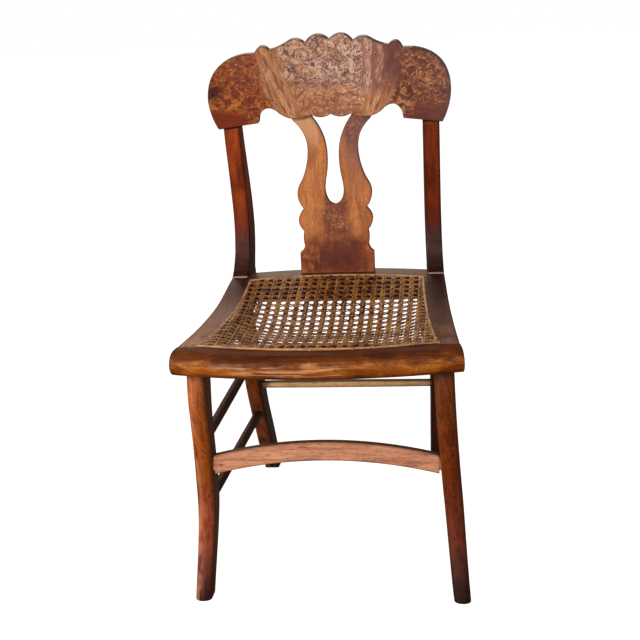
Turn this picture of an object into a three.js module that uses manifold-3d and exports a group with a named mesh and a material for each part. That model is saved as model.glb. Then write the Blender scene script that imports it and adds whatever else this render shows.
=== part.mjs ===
// Lyre back chair with a caned seat. Millimetres, +Z up, floor at z = 0.
// The sitter faces -Y and the chair is symmetric about x = 0.
// Each side is one plane: rail, back post and rear leg are sawn from planks that lie in it,
// and the two planes draw together towards the back.
import * as THREE from 'three';
import { mergeVertices } from 'three/addons/utils/BufferGeometryUtils.js';
import Module from 'manifold-3d';

const wasm = await Module();
wasm.setup();

// Overall
const seatHeight = 450;
const railDepth = 45;
const frontSeamY = -207;
const seatHalfWidth = 219;
const sideTaper = 0.085;
const plankThickness = 28;
const fitGap = 0.3;
const overrun = 6;
const weldDistance = 0.0001;
const legHeight = seatHeight - railDepth;

// Side rails
const sideRailRearY = 190;
const dishDepth = 17.5;
const lipWidth = 15;

// Front rail, a bullnosed board across the front
const noseRadius = 20;
const noseReach = 55;
const noseBow = 24;
const frontRailFlare = 7;

// Rear rail
const rearOpeningY = 92;
const rearRailEndDepth = 61;
const rearRailBow = 17;
const rearRailHeight = 34;

// Caned panel and its binder
const caneFrontMargin = 32;
const caneRearMargin = 63;
const caneFrontHalf = seatHalfWidth - caneFrontMargin;
const caneRearHalf = seatHalfWidth - caneRearMargin;
const caneSideBow = 3.3;
const caneFrontBow = 24;
const caneCornerInset = 3;
const caneRearBow = 15;
const caneRearY = 115;
const caneThickness = 2.2;
const caneLift = 0.6;
const caneSag = 20;
const sagRearMargin = 42;
const sagSideMargin = 3;
const canePitch = 20;
const caneGap = 11.5;
const gapMargin = 2;
const caneInset = 1;
const binderWidth = 5;
const binderThickness = 1.2;

// Crest rail, a board bent hollow towards the sitter and leaning back
const crestMargin = 10;
const crestHalfWidth = seatHalfWidth - crestMargin;
const crestBottomZ = 713;
const crestHeight = 146.5;
const crestThickness = 21;
const crestRadius = 685;
const crestCentreY = 172.2;
const crestLean = 0.167;
const veneerThickness = 1;

// Back posts
const postTopLap = 62;
const postFrontY = 171.5;
const postBackY = 210;

// Splat
const splatHalfWidth = 66.5;
const splatThickness = 12;
const splatFootY = 144.7;
const splatLean = 0.1225;
const splatTenonThickness = 6;
const splatFootTenonHalf = 44;
const splatFootTenonLength = 20;
const splatArmTenonWidth = 16;
const splatArmTenonRise = 25;

// Front legs
const frontLegTopMargin = 25.7;
const frontLegFootMargin = 4.5;
const frontLegTopX = seatHalfWidth - frontLegTopMargin;
const frontLegFootX = seatHalfWidth - frontLegFootMargin;
const frontLegBow = 3.2;
const frontLegWidth = 30.5;
const frontLegFootWidth = 27.5;
const frontLegFlareShare = 0.4;
const frontLegWaistY = -186;
const frontLegSweep = 44;
const frontLegDepth = 39;

// Rear legs
const rearLegTopY = 101;
const rearLegSweep = 138;
const rearLegDepth = 46;
const rearLegChamfer = 2.5;

// Leg tenons, round, into the side rails
const legTenonRadius = 7.5;
const legTenonLength = 18;
const rearTenonSetback = 24;
const frontTenonSetback = 19;

// Stretchers
const sideStretcherRadius = 8.4;
const stretcherTenonRadius = 5;
const stretcherTenonLength = 11;
const frontShoulderGap = 2;
const rearShoulderGap = 4;
const upperStretcherZ = 273.5;
const lowerStretcherZ = 153.5;
const rearStretcherZ = 215.2;
const rearStretcherRadius = 7.6;
const frontStretcherZ = 235;
const frontStretcherHeight = 33.5;
const frontStretcherArch = 24;
const frontStretcherThickness = 10;
const frontStretcherSetback = 6;
const boardTenonThickness = 5;
const boardTenonShoulder = 5;
const boardTenonLength = 13;

// Dowels, screws and the nail
const dowelRadius = 4;
const dowelLength = 38;
const railDowelDrop = 14;
const frontDowelSpacing = 18;
const frontDowelInset = 12;
const rearDowelSpacing = 26;
const rearDowelInset = 12;
const postDowelSpacing = 18;
const postDowelInset = 16;
const screwHeadRadius = 4.2;
const screwRim = 0.6;
const screwHeadDepth = 3;
const screwShankRadius = 2;
const screwTipDepth = 12.4;
const screwSlotWidth = 1;
const screwSlotDepth = 1;
const screwSpacing = 30;
const screwRise = 17;
const nailRadius = 1.1;
const nailLength = 22;
const nailInset = 11;
const nailSlant = 0.5;

// Facet counts
const arcSteps = 5;
const turnedSides = 12;
const holeSides = 10;
const crestStations = 24;
const railStations = 14;
const noseSteps = 8;

// Outlines as shares, chosen by hand. Each crest and splat point is across, up and the bulge of
// the arc to the next point as a share of its chord, to the left of the way taken.
const crestShares = [
  [0, 0.945, 0.26],
  [0.201, 0.917, 0.19],
  [0.349, 0.938, -0.03],
  [0.459, 0.871, 0],
  [0.493, 0.863, 0.36],
  [0.612, 0.833, 0],
  [0.699, 0.833, 0.225],
  [1, 0.341, 0.055],
  [0.926, 0, 0],
  [0.605, 0.034, 0],
  [0.598, 0.109, -0.3],
  [0.45, 0.157, 0.08],
  [0.318, 0.058, 0.075],
  [0.163, 0.092, 0.14],
  [0, 0.096, 0],
];
const splatEdgeShares = [
  [1, 0, 0],
  [1, 0.13, 0.12],
  [0.865, 0.18, -0.06],
  [0.865, 0.27, -0.24],
  [0.842, 0.412, -0.19],
  [0.865, 0.591, 0.05],
  [0.669, 0.77, 0.12],
  [1.02, 0.961, 0],
  [1.12, 1.005, 0],
];
const splatSlotShares = [
  [0.65, 1.03, 0],
  [0.51, 0.978, -0.08],
  [0.159, 0.768, -0.031],
  [0.195, 0.618, 0.02],
  [0.248, 0.536, 0.064],
  [0.175, 0.464, 0.134],
  [0, 0.4345, 0],
];
// Along the side from the front seam to the rear end, and how much of the dish is left
const dishShares = [
  [0, 1],
  [0.1, 0.72],
  [0.2, 0.44],
  [0.3, 0.22],
  [0.4, 0.08],
  [0.5, 0],
  [0.6, 0.05],
  [0.7, 0.32],
  [0.79, 0.62],
  [0.84, 0.74],
  [1, 0.74],
];
// Up the post from the seat to the crest, then how far its front and back edges lie
// forward of their rearmost places, as shares of the crest's thickness
const postShares = [
  [-0.02, 2.2, 0.95],
  [0.004, 2.1, 0.94],
  [0.02, 1.72, 0.86],
  [0.06, 1.24, 0.7],
  [0.13, 0.64, 0.38],
  [0.205, 0.33, 0.14],
  [0.28, 0.12, 0],
  [0.355, 0.02, 0],
  [0.43, 0.02, 0.05],
  [0.58, 0.17, 0.33],
  [0.73, 0.36, 0.71],
  [0.88, 0.6, 1.1],
  [0.97, 0.69, 1.29],
];
// Across the opening, where the panel's sag is measured, as shares of its half-width
const sagShares = [-1, -0.8, -0.35, 0.35, 0.8, 1];
// Back over the opening from the front seam, and the share of the full sag there
const sagRunShares = [
  [0, 0],
  [0.09, 0.6],
  [0.34, 0.86],
  [0.53, 1],
  [0.66, 0.78],
  [0.79, 0.42],
  [0.91, 0.08],
  [1, 0],
];
// Up the front leg, then how far its front edge sweeps forward of the waist, then its depth
const frontLegShares = [
  [0, 1, 0.72],
  [0.074, 0.76, 0.7],
  [0.148, 0.5, 0.69],
  [0.222, 0.26, 0.71],
  [0.296, 0.08, 0.76],
  [0.37, 0, 0.82],
  [0.444, 0.057, 0.88],
  [0.519, 0.148, 0.88],
  [0.593, 0.227, 0.84],
  [0.667, 0.307, 0.79],
  [0.74, 0.41, 0.77],
  [0.79, 0.489, 0.8],
  [0.84, 0.58, 0.88],
  [0.889, 0.636, 0.97],
  [0.938, 0.614, 1],
  [1, 0.5, 0.95],
];
// Across the front leg's half section: half-width and depth, for a front that is rounded
const roundFrontShares = [
  [0.28, 0],
  [0.62, 0.05],
  [0.88, 0.18],
  [1, 0.36],
  [1, 0.92],
  [0.9, 1],
];
// Across an arch or a bow, from one end to the other
const archShares = [-1, -0.75, -0.5, -0.25, 0, 0.25, 0.5, 0.75, 1];
// Up the rear leg, then how far its front edge and its back edge sweep backwards
const rearLegShares = [
  [0, 1, 0.833],
  [0.05, 0.935, 0.804],
  [0.123, 0.826, 0.743],
  [0.198, 0.732, 0.667],
  [0.272, 0.645, 0.587],
  [0.346, 0.558, 0.5],
  [0.42, 0.475, 0.42],
  [0.494, 0.399, 0.362],
  [0.6, 0.314, 0.283],
  [0.7, 0.234, 0.206],
  [0.8, 0.16, 0.13],
  [0.9, 0.083, 0.065],
  [1, 0, 0],
];

// Finishes
const finish = (color, roughness, metalness = 0) =>
  new THREE.MeshStandardMaterial({ color, roughness, metalness });
const burl = finish('#a85a36', 0.35);
const edgeWood = finish('#6b3420', 0.45);
const tanWood = finish('#b8743f', 0.4);
const redWood = finish('#7d3a22', 0.4);
const darkWood = finish('#4a2620', 0.45);
const goldenWood = finish('#9c5a24', 0.35);
const paleWood = finish('#c08a66', 0.5);
const cane = finish('#8d6a41', 0.6);
const binder = finish('#b08a5c', 0.55);
const beech = finish('#b89468', 0.7);
const steel = finish('#77736c', 0.45, 0.9);

// Plane of a side: the outer face's x at a depth y
const outerX = (y) => seatHalfWidth - sideTaper * (y - frontSeamY);
const innerX = (y) => outerX(y) - plankThickness;
const middleX = (y) => outerX(y) - plankThickness / 2;

// Height of the seat frame's top at a depth y, in straight steps between the dish's stations
const dishStations = dishShares.map(([along, share]) => new THREE.Vector2(
  frontSeamY + along * (sideRailRearY - frontSeamY),
  seatHeight - dishDepth * (1 - share),
));
function seatTopZ(y) {
  const next = dishStations.findIndex((station) => station.x >= y);
  if (next <= 0) return next === 0 ? dishStations[0].y : dishStations.at(-1).y;
  const [a, b] = [dishStations[next - 1], dishStations[next]];
  return a.y + (b.y - a.y) * (y - a.x) / (b.x - a.x);
}
const rearTopZ = dishStations.at(-1).y;

// Everything in the seat frame's height and below its dished top, with the top raised by a gap
const seatBlank = (lift) => sidePrism([
  ...dishStations.map((station) => new THREE.Vector2(station.x, station.y + lift)),
  new THREE.Vector2(sideRailRearY + overrun, rearTopZ + lift),
  new THREE.Vector2(sideRailRearY + overrun, legHeight + fitGap),
  new THREE.Vector2(frontSeamY - overrun, legHeight + fitGap),
  new THREE.Vector2(frontSeamY - overrun, seatHeight + lift),
], -seatHalfWidth - overrun, 2 * (seatHalfWidth + overrun));

// Value of a table's column at a share of its first column
function atShare(table, share, column) {
  const next = Math.max(1, table.findIndex((row) => row[0] >= share));
  const [a, b] = [table[next - 1], table[next]];
  return a[column] + (b[column] - a[column]) * (share - a[0]) / (b[0] - a[0]);
}

// A path of points with arcs between them
function arcPath(points, across, up, base) {
  const path = [];
  points.forEach(([x, z, bulge], index) => {
    const start = new THREE.Vector2(x * across, base + z * up);
    path.push(start);
    const next = points[index + 1];
    if (!next || bulge === 0) return;
    const chord = new THREE.Vector2(next[0] * across, base + next[1] * up).sub(start);
    const left = new THREE.Vector2(-chord.y, chord.x);
    for (let step = 1; step < arcSteps; step += 1) {
      const t = step / arcSteps;
      const rise = 4 * bulge * t * (1 - t);
      path.push(start.clone().addScaledVector(chord, t).addScaledVector(left, rise));
    }
  });
  return path;
}

// A half path and its mirror image, back to the start
const mirroredBack = (half) => half.map(({ x, y }) => new THREE.Vector2(-x, y)).reverse();

// Turns faces outwards where a builder left them facing in
function facingOut(geometry) {
  const flat = geometry.index ? geometry : mergeVertices(geometry, weldDistance);
  const position = flat.attributes.position;
  const index = flat.index.array;
  const [a, b, c] = [new THREE.Vector3(), new THREE.Vector3(), new THREE.Vector3()];
  let volume = 0;
  for (let i = 0; i < index.length; i += 3) {
    a.fromBufferAttribute(position, index[i]);
    b.fromBufferAttribute(position, index[i + 1]);
    c.fromBufferAttribute(position, index[i + 2]);
    volume += a.dot(b.cross(c));
  }
  if (volume < 0) {
    for (let i = 0; i < index.length; i += 3) [index[i], index[i + 1]] = [index[i + 1], index[i]];
  }
  return flat;
}

// Moves every corner of a geometry by a function of its place
function bent(geometry, move) {
  const position = geometry.attributes.position;
  const corner = new THREE.Vector3();
  for (let i = 0; i < position.count; i += 1) {
    corner.fromBufferAttribute(position, i);
    move(corner);
    position.setXYZ(i, corner.x, corner.y, corner.z);
  }
  return geometry;
}

// Straight prisms from outlines in the plan, in the front view and in the side view
function planPrism(outline, bottom, height) {
  const shape = new THREE.Shape(outline);
  return new THREE.ExtrudeGeometry(shape, { depth: height, bevelEnabled: false })
    .translate(0, 0, bottom);
}
function frontPrism(outline, nearY, depth) {
  const shape = new THREE.Shape(outline);
  return new THREE.ExtrudeGeometry(shape, { depth, bevelEnabled: false })
    .rotateX(Math.PI / 2)
    .translate(0, nearY + depth, 0);
}
function sidePrism(outline, fromX, width) {
  const shape = new THREE.Shape(outline);
  return new THREE.ExtrudeGeometry(shape, { depth: width, bevelEnabled: false })
    .rotateZ(Math.PI / 2)
    .rotateY(Math.PI / 2)
    .translate(fromX, 0, 0);
}

// Skin over rings of equal count, with flat ends
function loft(rings) {
  const count = rings[0].length;
  const index = [];
  for (let ring = 0; ring < rings.length - 1; ring += 1) {
    for (let i = 0; i < count; i += 1) {
      const [a, b] = [ring * count + i, ring * count + (i + 1) % count];
      index.push(a, b, b + count, a, b + count, a + count);
    }
  }
  const last = (rings.length - 1) * count;
  for (let i = 1; i < count - 1; i += 1) {
    index.push(0, i + 1, i, last, last + i, last + i + 1);
  }
  const geometry = new THREE.BufferGeometry().setFromPoints(rings.flat());
  geometry.setIndex(index);
  return facingOut(geometry);
}

// Round work about the line from one point towards another: steps of distance and radius
function turned(from, towards, steps, sides = turnedSides) {
  const axis = towards.clone().sub(from).normalize();
  const across = Math.abs(axis.z) < Math.SQRT1_2
    ? new THREE.Vector3(0, 0, 1).cross(axis).normalize()
    : new THREE.Vector3(1, 0, 0).cross(axis).normalize();
  const third = axis.clone().cross(across);
  return loft(steps.map(([distance, radius]) => Array.from({ length: sides }, (_, i) => {
    const angle = 2 * Math.PI * i / sides;
    return from.clone().addScaledVector(axis, distance)
      .addScaledVector(across, radius * Math.cos(angle))
      .addScaledVector(third, radius * Math.sin(angle));
  })));
}

// Solid for cutting and joining, and back again
function solid(geometry) {
  const bare = geometry.clone();
  bare.deleteAttribute('normal');
  bare.deleteAttribute('uv');
  const welded = mergeVertices(bare, weldDistance);
  return new wasm.Manifold(new wasm.Mesh({
    numProp: 3,
    vertProperties: Float32Array.from(welded.attributes.position.array),
    triVerts: Uint32Array.from(welded.index.array),
  }));
}
function geometryOf(manifold) {
  const mesh = manifold.getMesh();
  const geometry = new THREE.BufferGeometry();
  geometry.setAttribute('position', new THREE.BufferAttribute(mesh.vertProperties, 3));
  geometry.setIndex(new THREE.BufferAttribute(mesh.triVerts, 1));
  geometry.computeVertexNormals();
  return geometry;
}
const less = (body, cutters) => cutters.reduce((rest, cutter) => rest.subtract(solid(cutter)), body);

const chair = new THREE.Group();
function add(name, geometry, material) {
  const mesh = new THREE.Mesh(geometry, material);
  mesh.name = name;
  chair.add(mesh);
}
function mirrored(geometry) {
  const copy = geometry.clone();
  bent(copy, (corner) => { corner.x = -corner.x; });
  return facingOut(copy);
}
function addPair(name, geometry, material) {
  add(`right_${name}`, geometry, material);
  add(`left_${name}`, mirrored(geometry), material);
}

// A plank piece of a side: an outline in depth and height, laid in the side's plane
function plank(outline, thickness = plankThickness) {
  return bent(sidePrism(outline, -thickness, thickness), (corner) => {
    corner.x += outerX(corner.y);
  });
}

// Crest rail
const crestRight = arcPath(crestShares, crestHalfWidth, crestHeight, crestBottomZ);
const crestOutline = [...crestRight, ...mirroredBack(crestRight.slice(1, -1))];
const crestFaceY = (x, z) => crestCentreY + (z - crestBottomZ) * crestLean
  - (crestRadius - Math.sqrt(crestRadius ** 2 - x ** 2));
function crestShell(from, to) {
  const low = crestBottomZ - overrun;
  const high = crestBottomZ + crestHeight + overrun;
  const reach = crestHalfWidth + overrun;
  return solid(loft(Array.from({ length: crestStations + 1 }, (_, i) => {
    const x = reach * (2 * i / crestStations - 1);
    return [[low, from], [low, to], [high, to], [high, from]]
      .map(([z, offset]) => new THREE.Vector3(x, crestFaceY(x, z) + offset, z));
  })));
}
const crestBlankDepth = crestRadius - Math.sqrt(crestRadius ** 2 - crestHalfWidth ** 2)
  + crestHeight * crestLean + crestThickness + overrun;
const crestBlankY = crestFaceY(crestHalfWidth, crestBottomZ) - overrun;
const crestBlank = solid(frontPrism(crestOutline, crestBlankY, crestBlankDepth + overrun));
function underCrest(behind) {
  const clearance = crestBlank.intersect(crestShell(-fitGap, crestThickness + behind));
  return clearance.add(clearance.translate(0, 0, -fitGap));
}

// Splat, an open lyre, upright in the front view and leaning back
const splatHeight = crestBottomZ + crestHeight * crestShares.at(-1)[1] - rearTopZ;
const splatHalfEdge = arcPath(splatEdgeShares, splatHalfWidth, splatHeight, rearTopZ + fitGap);
const splatHalfSlot = arcPath(splatSlotShares, splatHalfWidth, splatHeight, rearTopZ + fitGap);
const splatRight = [...splatHalfEdge, ...splatHalfSlot];
const splatOutline = [...splatRight, ...mirroredBack(splatRight.slice(0, -1))];
function splatBoard(outline, from, to) {
  return bent(frontPrism(outline, splatFootY + from, to - from), (corner) => {
    corner.y += (corner.z - rearTopZ) * splatLean;
  });
}
function box(fromX, toX, fromZ, toZ) {
  return [
    new THREE.Vector2(fromX, fromZ),
    new THREE.Vector2(toX, fromZ),
    new THREE.Vector2(toX, toZ),
    new THREE.Vector2(fromX, toZ),
  ];
}
const tenonNear = (splatThickness - splatTenonThickness) / 2;
const tenonFar = tenonNear + splatTenonThickness;
const armX = splatHalfWidth * (splatEdgeShares.at(-2)[0] + splatSlotShares[1][0]) / 2;
function footTenon(slack) {
  const half = splatFootTenonHalf + slack;
  const depth = splatFootTenonLength + slack;
  return splatBoard(
    box(-half, half, rearTopZ - depth, rearTopZ + overrun),
    tenonNear - slack,
    tenonFar + slack,
  );
}
function armTenon(side, slack) {
  const half = splatArmTenonWidth / 2 + slack;
  const x = side * armX;
  return splatBoard(
    box(x - half, x + half, crestBottomZ, crestBottomZ + splatArmTenonRise + slack),
    tenonNear - slack,
    tenonFar + slack,
  );
}
const splatCore = solid(splatBoard(splatOutline, veneerThickness + fitGap, splatThickness))
  .subtract(underCrest(overrun));
const splat = splatCore
  .add(solid(footTenon(0)))
  .add(solid(armTenon(1, 0)))
  .add(solid(armTenon(-1, 0)));
add('lyre_splat', geometryOf(splat), tanWood);
const splatFace = solid(splatBoard(splatOutline, 0, veneerThickness))
  .subtract(underCrest(overrun));
add('splat_veneer', geometryOf(splatFace), tanWood);

// Screws through the post tops into the crest, from behind
const postBackAt = (z) => postBackY - crestThickness * postShares.at(-1)[2]
  + (z - crestBottomZ) * crestLean;
const screwHeights = [0, 1].map((row) => crestBottomZ + screwRise + row * screwSpacing);
const screwX = middleX(postBackY - crestThickness);
const screwLength = postBackAt(crestBottomZ) - crestFaceY(screwX, crestBottomZ) - screwTipDepth;
function screwAt(z, slack, above = 0) {
  const top = new THREE.Vector3(screwX, postBackAt(z) + above, z);
  const ahead = top.clone().add(new THREE.Vector3(0, -1, 0));
  const rim = above + screwRim + slack;
  return turned(top, ahead, [
    [0, screwHeadRadius + slack],
    [rim, screwHeadRadius + slack],
    [rim + screwHeadDepth, screwShankRadius + slack],
    [above + screwLength + slack, screwShankRadius + slack],
  ], holeSides);
}
const screwHoles = screwHeights.map((z) => screwAt(z, fitGap, overrun));

const crestBody = less(
  crestBlank.intersect(crestShell(veneerThickness + fitGap, crestThickness)),
  [armTenon(1, fitGap), armTenon(-1, fitGap), ...screwHoles, ...screwHoles.map(mirrored)],
);
add('crest_rail', geometryOf(crestBody), edgeWood);
add('crest_veneer', geometryOf(crestBlank.intersect(crestShell(0, veneerThickness))), burl);

// Back posts, from the side rail up behind the crest
const postHeight = crestBottomZ - rearTopZ;
const postOutline = [
  ...postShares.map(([up, front]) => new THREE.Vector2(
    postFrontY - front * crestThickness,
    rearTopZ + up * postHeight,
  )),
  ...[0, postTopLap].map((lap) => new THREE.Vector2(
    crestFaceY(middleX(postFrontY), crestBottomZ + lap) + crestThickness / 2,
    crestBottomZ + lap,
  )),
  new THREE.Vector2(postBackAt(crestBottomZ + postTopLap), crestBottomZ + postTopLap),
  ...postShares.map(([up, , back]) => new THREE.Vector2(
    postBackY - back * crestThickness,
    rearTopZ + up * postHeight,
  )).reverse(),
];
const postDowelYs = [0, 1].map((row) => sideRailRearY - postDowelInset - row * postDowelSpacing);
function postDowel(y, slack) {
  const foot = new THREE.Vector3(middleX(y), y, rearTopZ - dowelLength / 2 - slack);
  const up = foot.clone().add(new THREE.Vector3(0, 0, 1));
  return turned(foot, up, [
    [0, dowelRadius + slack],
    [dowelLength + 2 * slack, dowelRadius + slack],
  ], holeSides);
}
const post = less(
  solid(plank(postOutline)).subtract(underCrest(fitGap)),
  [seatBlank(fitGap), ...screwHoles, ...postDowelYs.map((y) => postDowel(y, fitGap))],
);
addPair('back_post', geometryOf(post), redWood);
postDowelYs.forEach((y, row) => {
  addPair(`post_dowel_${row + 1}`, postDowel(y, 0), beech);
});
screwHeights.forEach((z, row) => {
  const slot = new THREE.BoxGeometry(2 * overrun, 2 * screwSlotDepth, screwSlotWidth)
    .translate(screwX, postBackAt(z), z);
  addPair(`crest_screw_${row + 1}`, geometryOf(less(solid(screwAt(z, 0)), [slot])), steel);
});

// Front legs, sabre shaped with a rounded front
const frontLegX = (up) => THREE.MathUtils.lerp(frontLegFootX, frontLegTopX, up)
  - 4 * frontLegBow * up * (1 - up);
const frontLegFront = (up) => frontLegWaistY - atShare(frontLegShares, up, 1) * frontLegSweep;
const frontLegThick = (up) => atShare(frontLegShares, up, 2) * frontLegDepth;
const frontLegWide = (up) => THREE.MathUtils.lerp(frontLegFootWidth, frontLegWidth,
  Math.min(up / frontLegFlareShare, 1));
function frontLegRing([up]) {
  const [x, front, depth] = [frontLegX(up), frontLegFront(up), frontLegThick(up)];
  const half = roundFrontShares.map(([w, d]) => [w * frontLegWide(up) / 2, front + d * depth]);
  return [...half, ...half.map(([w, y]) => [-w, y]).reverse()].map(([w, y]) => (
    new THREE.Vector3(x + w - sideTaper * (y - front - depth / 2), y, up * legHeight)));
}
function frontLegCentre(z) {
  const up = z / legHeight;
  return new THREE.Vector3(frontLegX(up), frontLegFront(up) + frontLegThick(up) / 2, z);
}

// Rear legs, raked, in the plane of the side
const rearLegFront = (up) => rearLegTopY + atShare(rearLegShares, up, 1) * rearLegSweep;
const rearLegBack = (up) => rearLegTopY + rearLegDepth
  + atShare(rearLegShares, up, 2) * rearLegSweep;
function rearLegRing([up]) {
  const z = up * legHeight;
  const [front, back, c] = [rearLegFront(up), rearLegBack(up), rearLegChamfer];
  return [
    [c, front], [plankThickness - c, front], [plankThickness, front + c], [plankThickness, back - c],
    [plankThickness - c, back], [c, back], [0, back - c], [0, front + c],
  ].map(([inset, y]) => new THREE.Vector3(outerX(y) - inset, y, z));
}
function rearLegCentre(z) {
  const up = z / legHeight;
  const y = (rearLegFront(up) + rearLegBack(up)) / 2;
  return new THREE.Vector3(middleX(y), y, z);
}

// Round tenon standing on a leg's top
function legTenon(x, y, slack) {
  const foot = new THREE.Vector3(x, y, legHeight - overrun);
  const up = foot.clone().add(new THREE.Vector3(0, 0, 1));
  return turned(foot, up, [
    [0, legTenonRadius + slack],
    [overrun + legTenonLength + slack, legTenonRadius + slack],
  ]);
}
const frontTenonY = frontSeamY + frontTenonSetback;
const rearTenonY = rearLegTopY + rearTenonSetback;

// Side stretchers, two dowels to a side, tenoned into both legs
function stretcherAxis(z) {
  return [frontLegCentre(z), rearLegCentre(z)];
}
function roundStretcher(from, to, startShoulder, endShoulder, radius) {
  const length = from.distanceTo(to);
  return turned(from, to, [
    [startShoulder - stretcherTenonLength, stretcherTenonRadius],
    [startShoulder, stretcherTenonRadius],
    [startShoulder, radius],
    [length - endShoulder, radius],
    [length - endShoulder, stretcherTenonRadius],
    [length - endShoulder + stretcherTenonLength, stretcherTenonRadius],
  ]);
}
function sideShoulders(z) {
  const up = z / legHeight;
  const rearThick = rearLegBack(up) - rearLegFront(up);
  return [frontLegThick(up) / 2 + frontShoulderGap, rearThick / 2 + rearShoulderGap];
}
function socket(from, towards, start, length) {
  return turned(from, towards, [
    [start - length - fitGap, stretcherTenonRadius + fitGap],
    [start + overrun, stretcherTenonRadius + fitGap],
  ]);
}
const sideHeights = { upper: upperStretcherZ, lower: lowerStretcherZ };
const sideSockets = Object.values(sideHeights).map((z) => {
  const [front, rear] = stretcherAxis(z);
  const [a, b] = sideShoulders(z);
  return {
    front: socket(front, rear, a, stretcherTenonLength),
    rear: socket(rear, front, b, stretcherTenonLength),
  };
});
Object.entries(sideHeights).forEach(([name, z]) => {
  const [front, rear] = stretcherAxis(z);
  const [a, b] = sideShoulders(z);
  addPair(`${name}_side_stretcher`, roundStretcher(front, rear, a, b, sideStretcherRadius), darkWood);
});

// Rear stretcher between the rear legs
const rearStretcherY = rearLegCentre(rearStretcherZ).y;
const rearShoulderX = innerX(rearStretcherY) - fitGap - rearStretcherRadius * sideTaper;
const rearEnds = [-1, 1].map((side) => new THREE.Vector3(side * rearShoulderX, rearStretcherY,
  rearStretcherZ));
add('rear_stretcher', roundStretcher(rearEnds[0], rearEnds[1], 0, 0, rearStretcherRadius), paleWood);
const rearSocket = socket(rearEnds[1], rearEnds[0], 0, stretcherTenonLength);

// Front stretcher, an arched board tenoned between the front legs
const boardFootZ = frontStretcherZ - frontStretcherHeight / 2;
const boardLegX = frontLegCentre(frontStretcherZ).x;
const boardFrontY = frontLegFront(frontStretcherZ / legHeight) + frontStretcherSetback;
const boardShoulderX = boardLegX - frontLegWidth / 2 - fitGap
  - (frontLegFootX - frontLegTopX) * frontStretcherHeight / legHeight;
const boardTop = archShares.map((t) => new THREE.Vector2(t * boardShoulderX,
  boardFootZ + frontStretcherHeight + frontStretcherArch * (1 - t * t)));
const boardFoot = archShares.map((t) => new THREE.Vector2(t * boardShoulderX,
  boardFootZ + frontStretcherArch * (1 - t * t)));
const boardBlank = frontPrism([...boardFoot, ...boardTop.reverse()], boardFrontY,
  frontStretcherThickness);
const boardTenonY = boardFrontY + (frontStretcherThickness - boardTenonThickness) / 2;
function boardTenon(side, slack) {
  const from = boardShoulderX - overrun;
  const to = boardShoulderX + boardTenonLength + slack;
  const low = boardFootZ + boardTenonShoulder - slack;
  const high = boardFootZ + frontStretcherHeight - boardTenonShoulder + slack;
  const outline = side > 0 ? box(from, to, low, high) : box(-to, -from, low, high);
  return frontPrism(outline, boardTenonY - slack, boardTenonThickness + 2 * slack);
}
// A nail driven aslant through the left end of the board into the leg
const nailHead = new THREE.Vector3(-boardShoulderX + nailInset, boardFrontY, frontStretcherZ);
const nailPoint = nailHead.clone().add(new THREE.Vector3(-1, nailSlant, 0));
const nailShaft = (slack) => turned(nailHead, nailPoint, [
  [-nailRadius - slack * overrun, nailRadius + slack],
  [nailLength + slack, nailRadius + slack],
], holeSides);
const board = less(
  solid(boardBlank).add(solid(boardTenon(1, 0))).add(solid(boardTenon(-1, 0))),
  [nailShaft(fitGap)],
);
add('front_stretcher', geometryOf(board), paleWood);
add('stretcher_nail', nailShaft(0), steel);

const frontLeg = less(
  solid(loft(frontLegShares.map(frontLegRing)))
    .add(solid(legTenon(frontLegTopX, frontTenonY, 0))),
  [...sideSockets.map((pair) => pair.front), boardTenon(1, fitGap)],
);
add('right_front_leg', geometryOf(frontLeg), goldenWood);
const leftFrontLeg = less(solid(mirrored(geometryOf(frontLeg))), [nailShaft(fitGap)]);
add('left_front_leg', geometryOf(leftFrontLeg), goldenWood);

const rearLeg = less(
  solid(loft(rearLegShares.map(rearLegRing)))
    .add(solid(legTenon(middleX(rearTenonY), rearTenonY, 0))),
  [...sideSockets.map((pair) => pair.rear), rearSocket],
);
addPair('rear_leg', geometryOf(rearLeg), redWood);

// Edge of the caned panel
const caneCornerY = frontSeamY + caneCornerInset;
function caneHalf(y) {
  const t = THREE.MathUtils.clamp((y - caneCornerY) / (caneRearY - caneCornerY), 0, 1);
  return THREE.MathUtils.lerp(caneFrontHalf, caneRearHalf, t) - 4 * caneSideBow * t * (1 - t);
}
const caneFrontY = (x) => caneCornerY - caneFrontBow * (1 - (x / caneFrontHalf) ** 2);
const caneBackY = (x) => caneRearY + caneRearBow * (1 - (x / caneRearHalf) ** 2);

// Dowels of the seat frame
const railDowelZ = rearTopZ - railDowelDrop;
function frontDowel(x, slack) {
  const from = new THREE.Vector3(x, frontSeamY - dowelLength / 2 - slack, railDowelZ);
  const to = from.clone().add(new THREE.Vector3(0, 1, 0));
  return turned(from, to, [
    [0, dowelRadius + slack],
    [dowelLength + 2 * slack, dowelRadius + slack],
  ], holeSides);
}
function rearDowel(y, slack) {
  const from = new THREE.Vector3(innerX(y) - dowelLength / 2 - slack, y, railDowelZ);
  const to = from.clone().add(new THREE.Vector3(1, 0, 0));
  return turned(from, to, [
    [0, dowelRadius + slack],
    [dowelLength + 2 * slack, dowelRadius + slack],
  ], holeSides);
}
const frontDowelXs = [0, 1].map((row) => seatHalfWidth - frontDowelInset - row * frontDowelSpacing);
const rearDowelYs = [0, 1].map((row) => rearOpeningY + rearDowelInset + row * rearDowelSpacing);
frontDowelXs.forEach((x, row) => addPair(`front_rail_dowel_${row + 1}`, frontDowel(x, 0), beech));
rearDowelYs.forEach((y, row) => addPair(`rear_rail_dowel_${row + 1}`, rearDowel(y, 0), beech));

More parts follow.
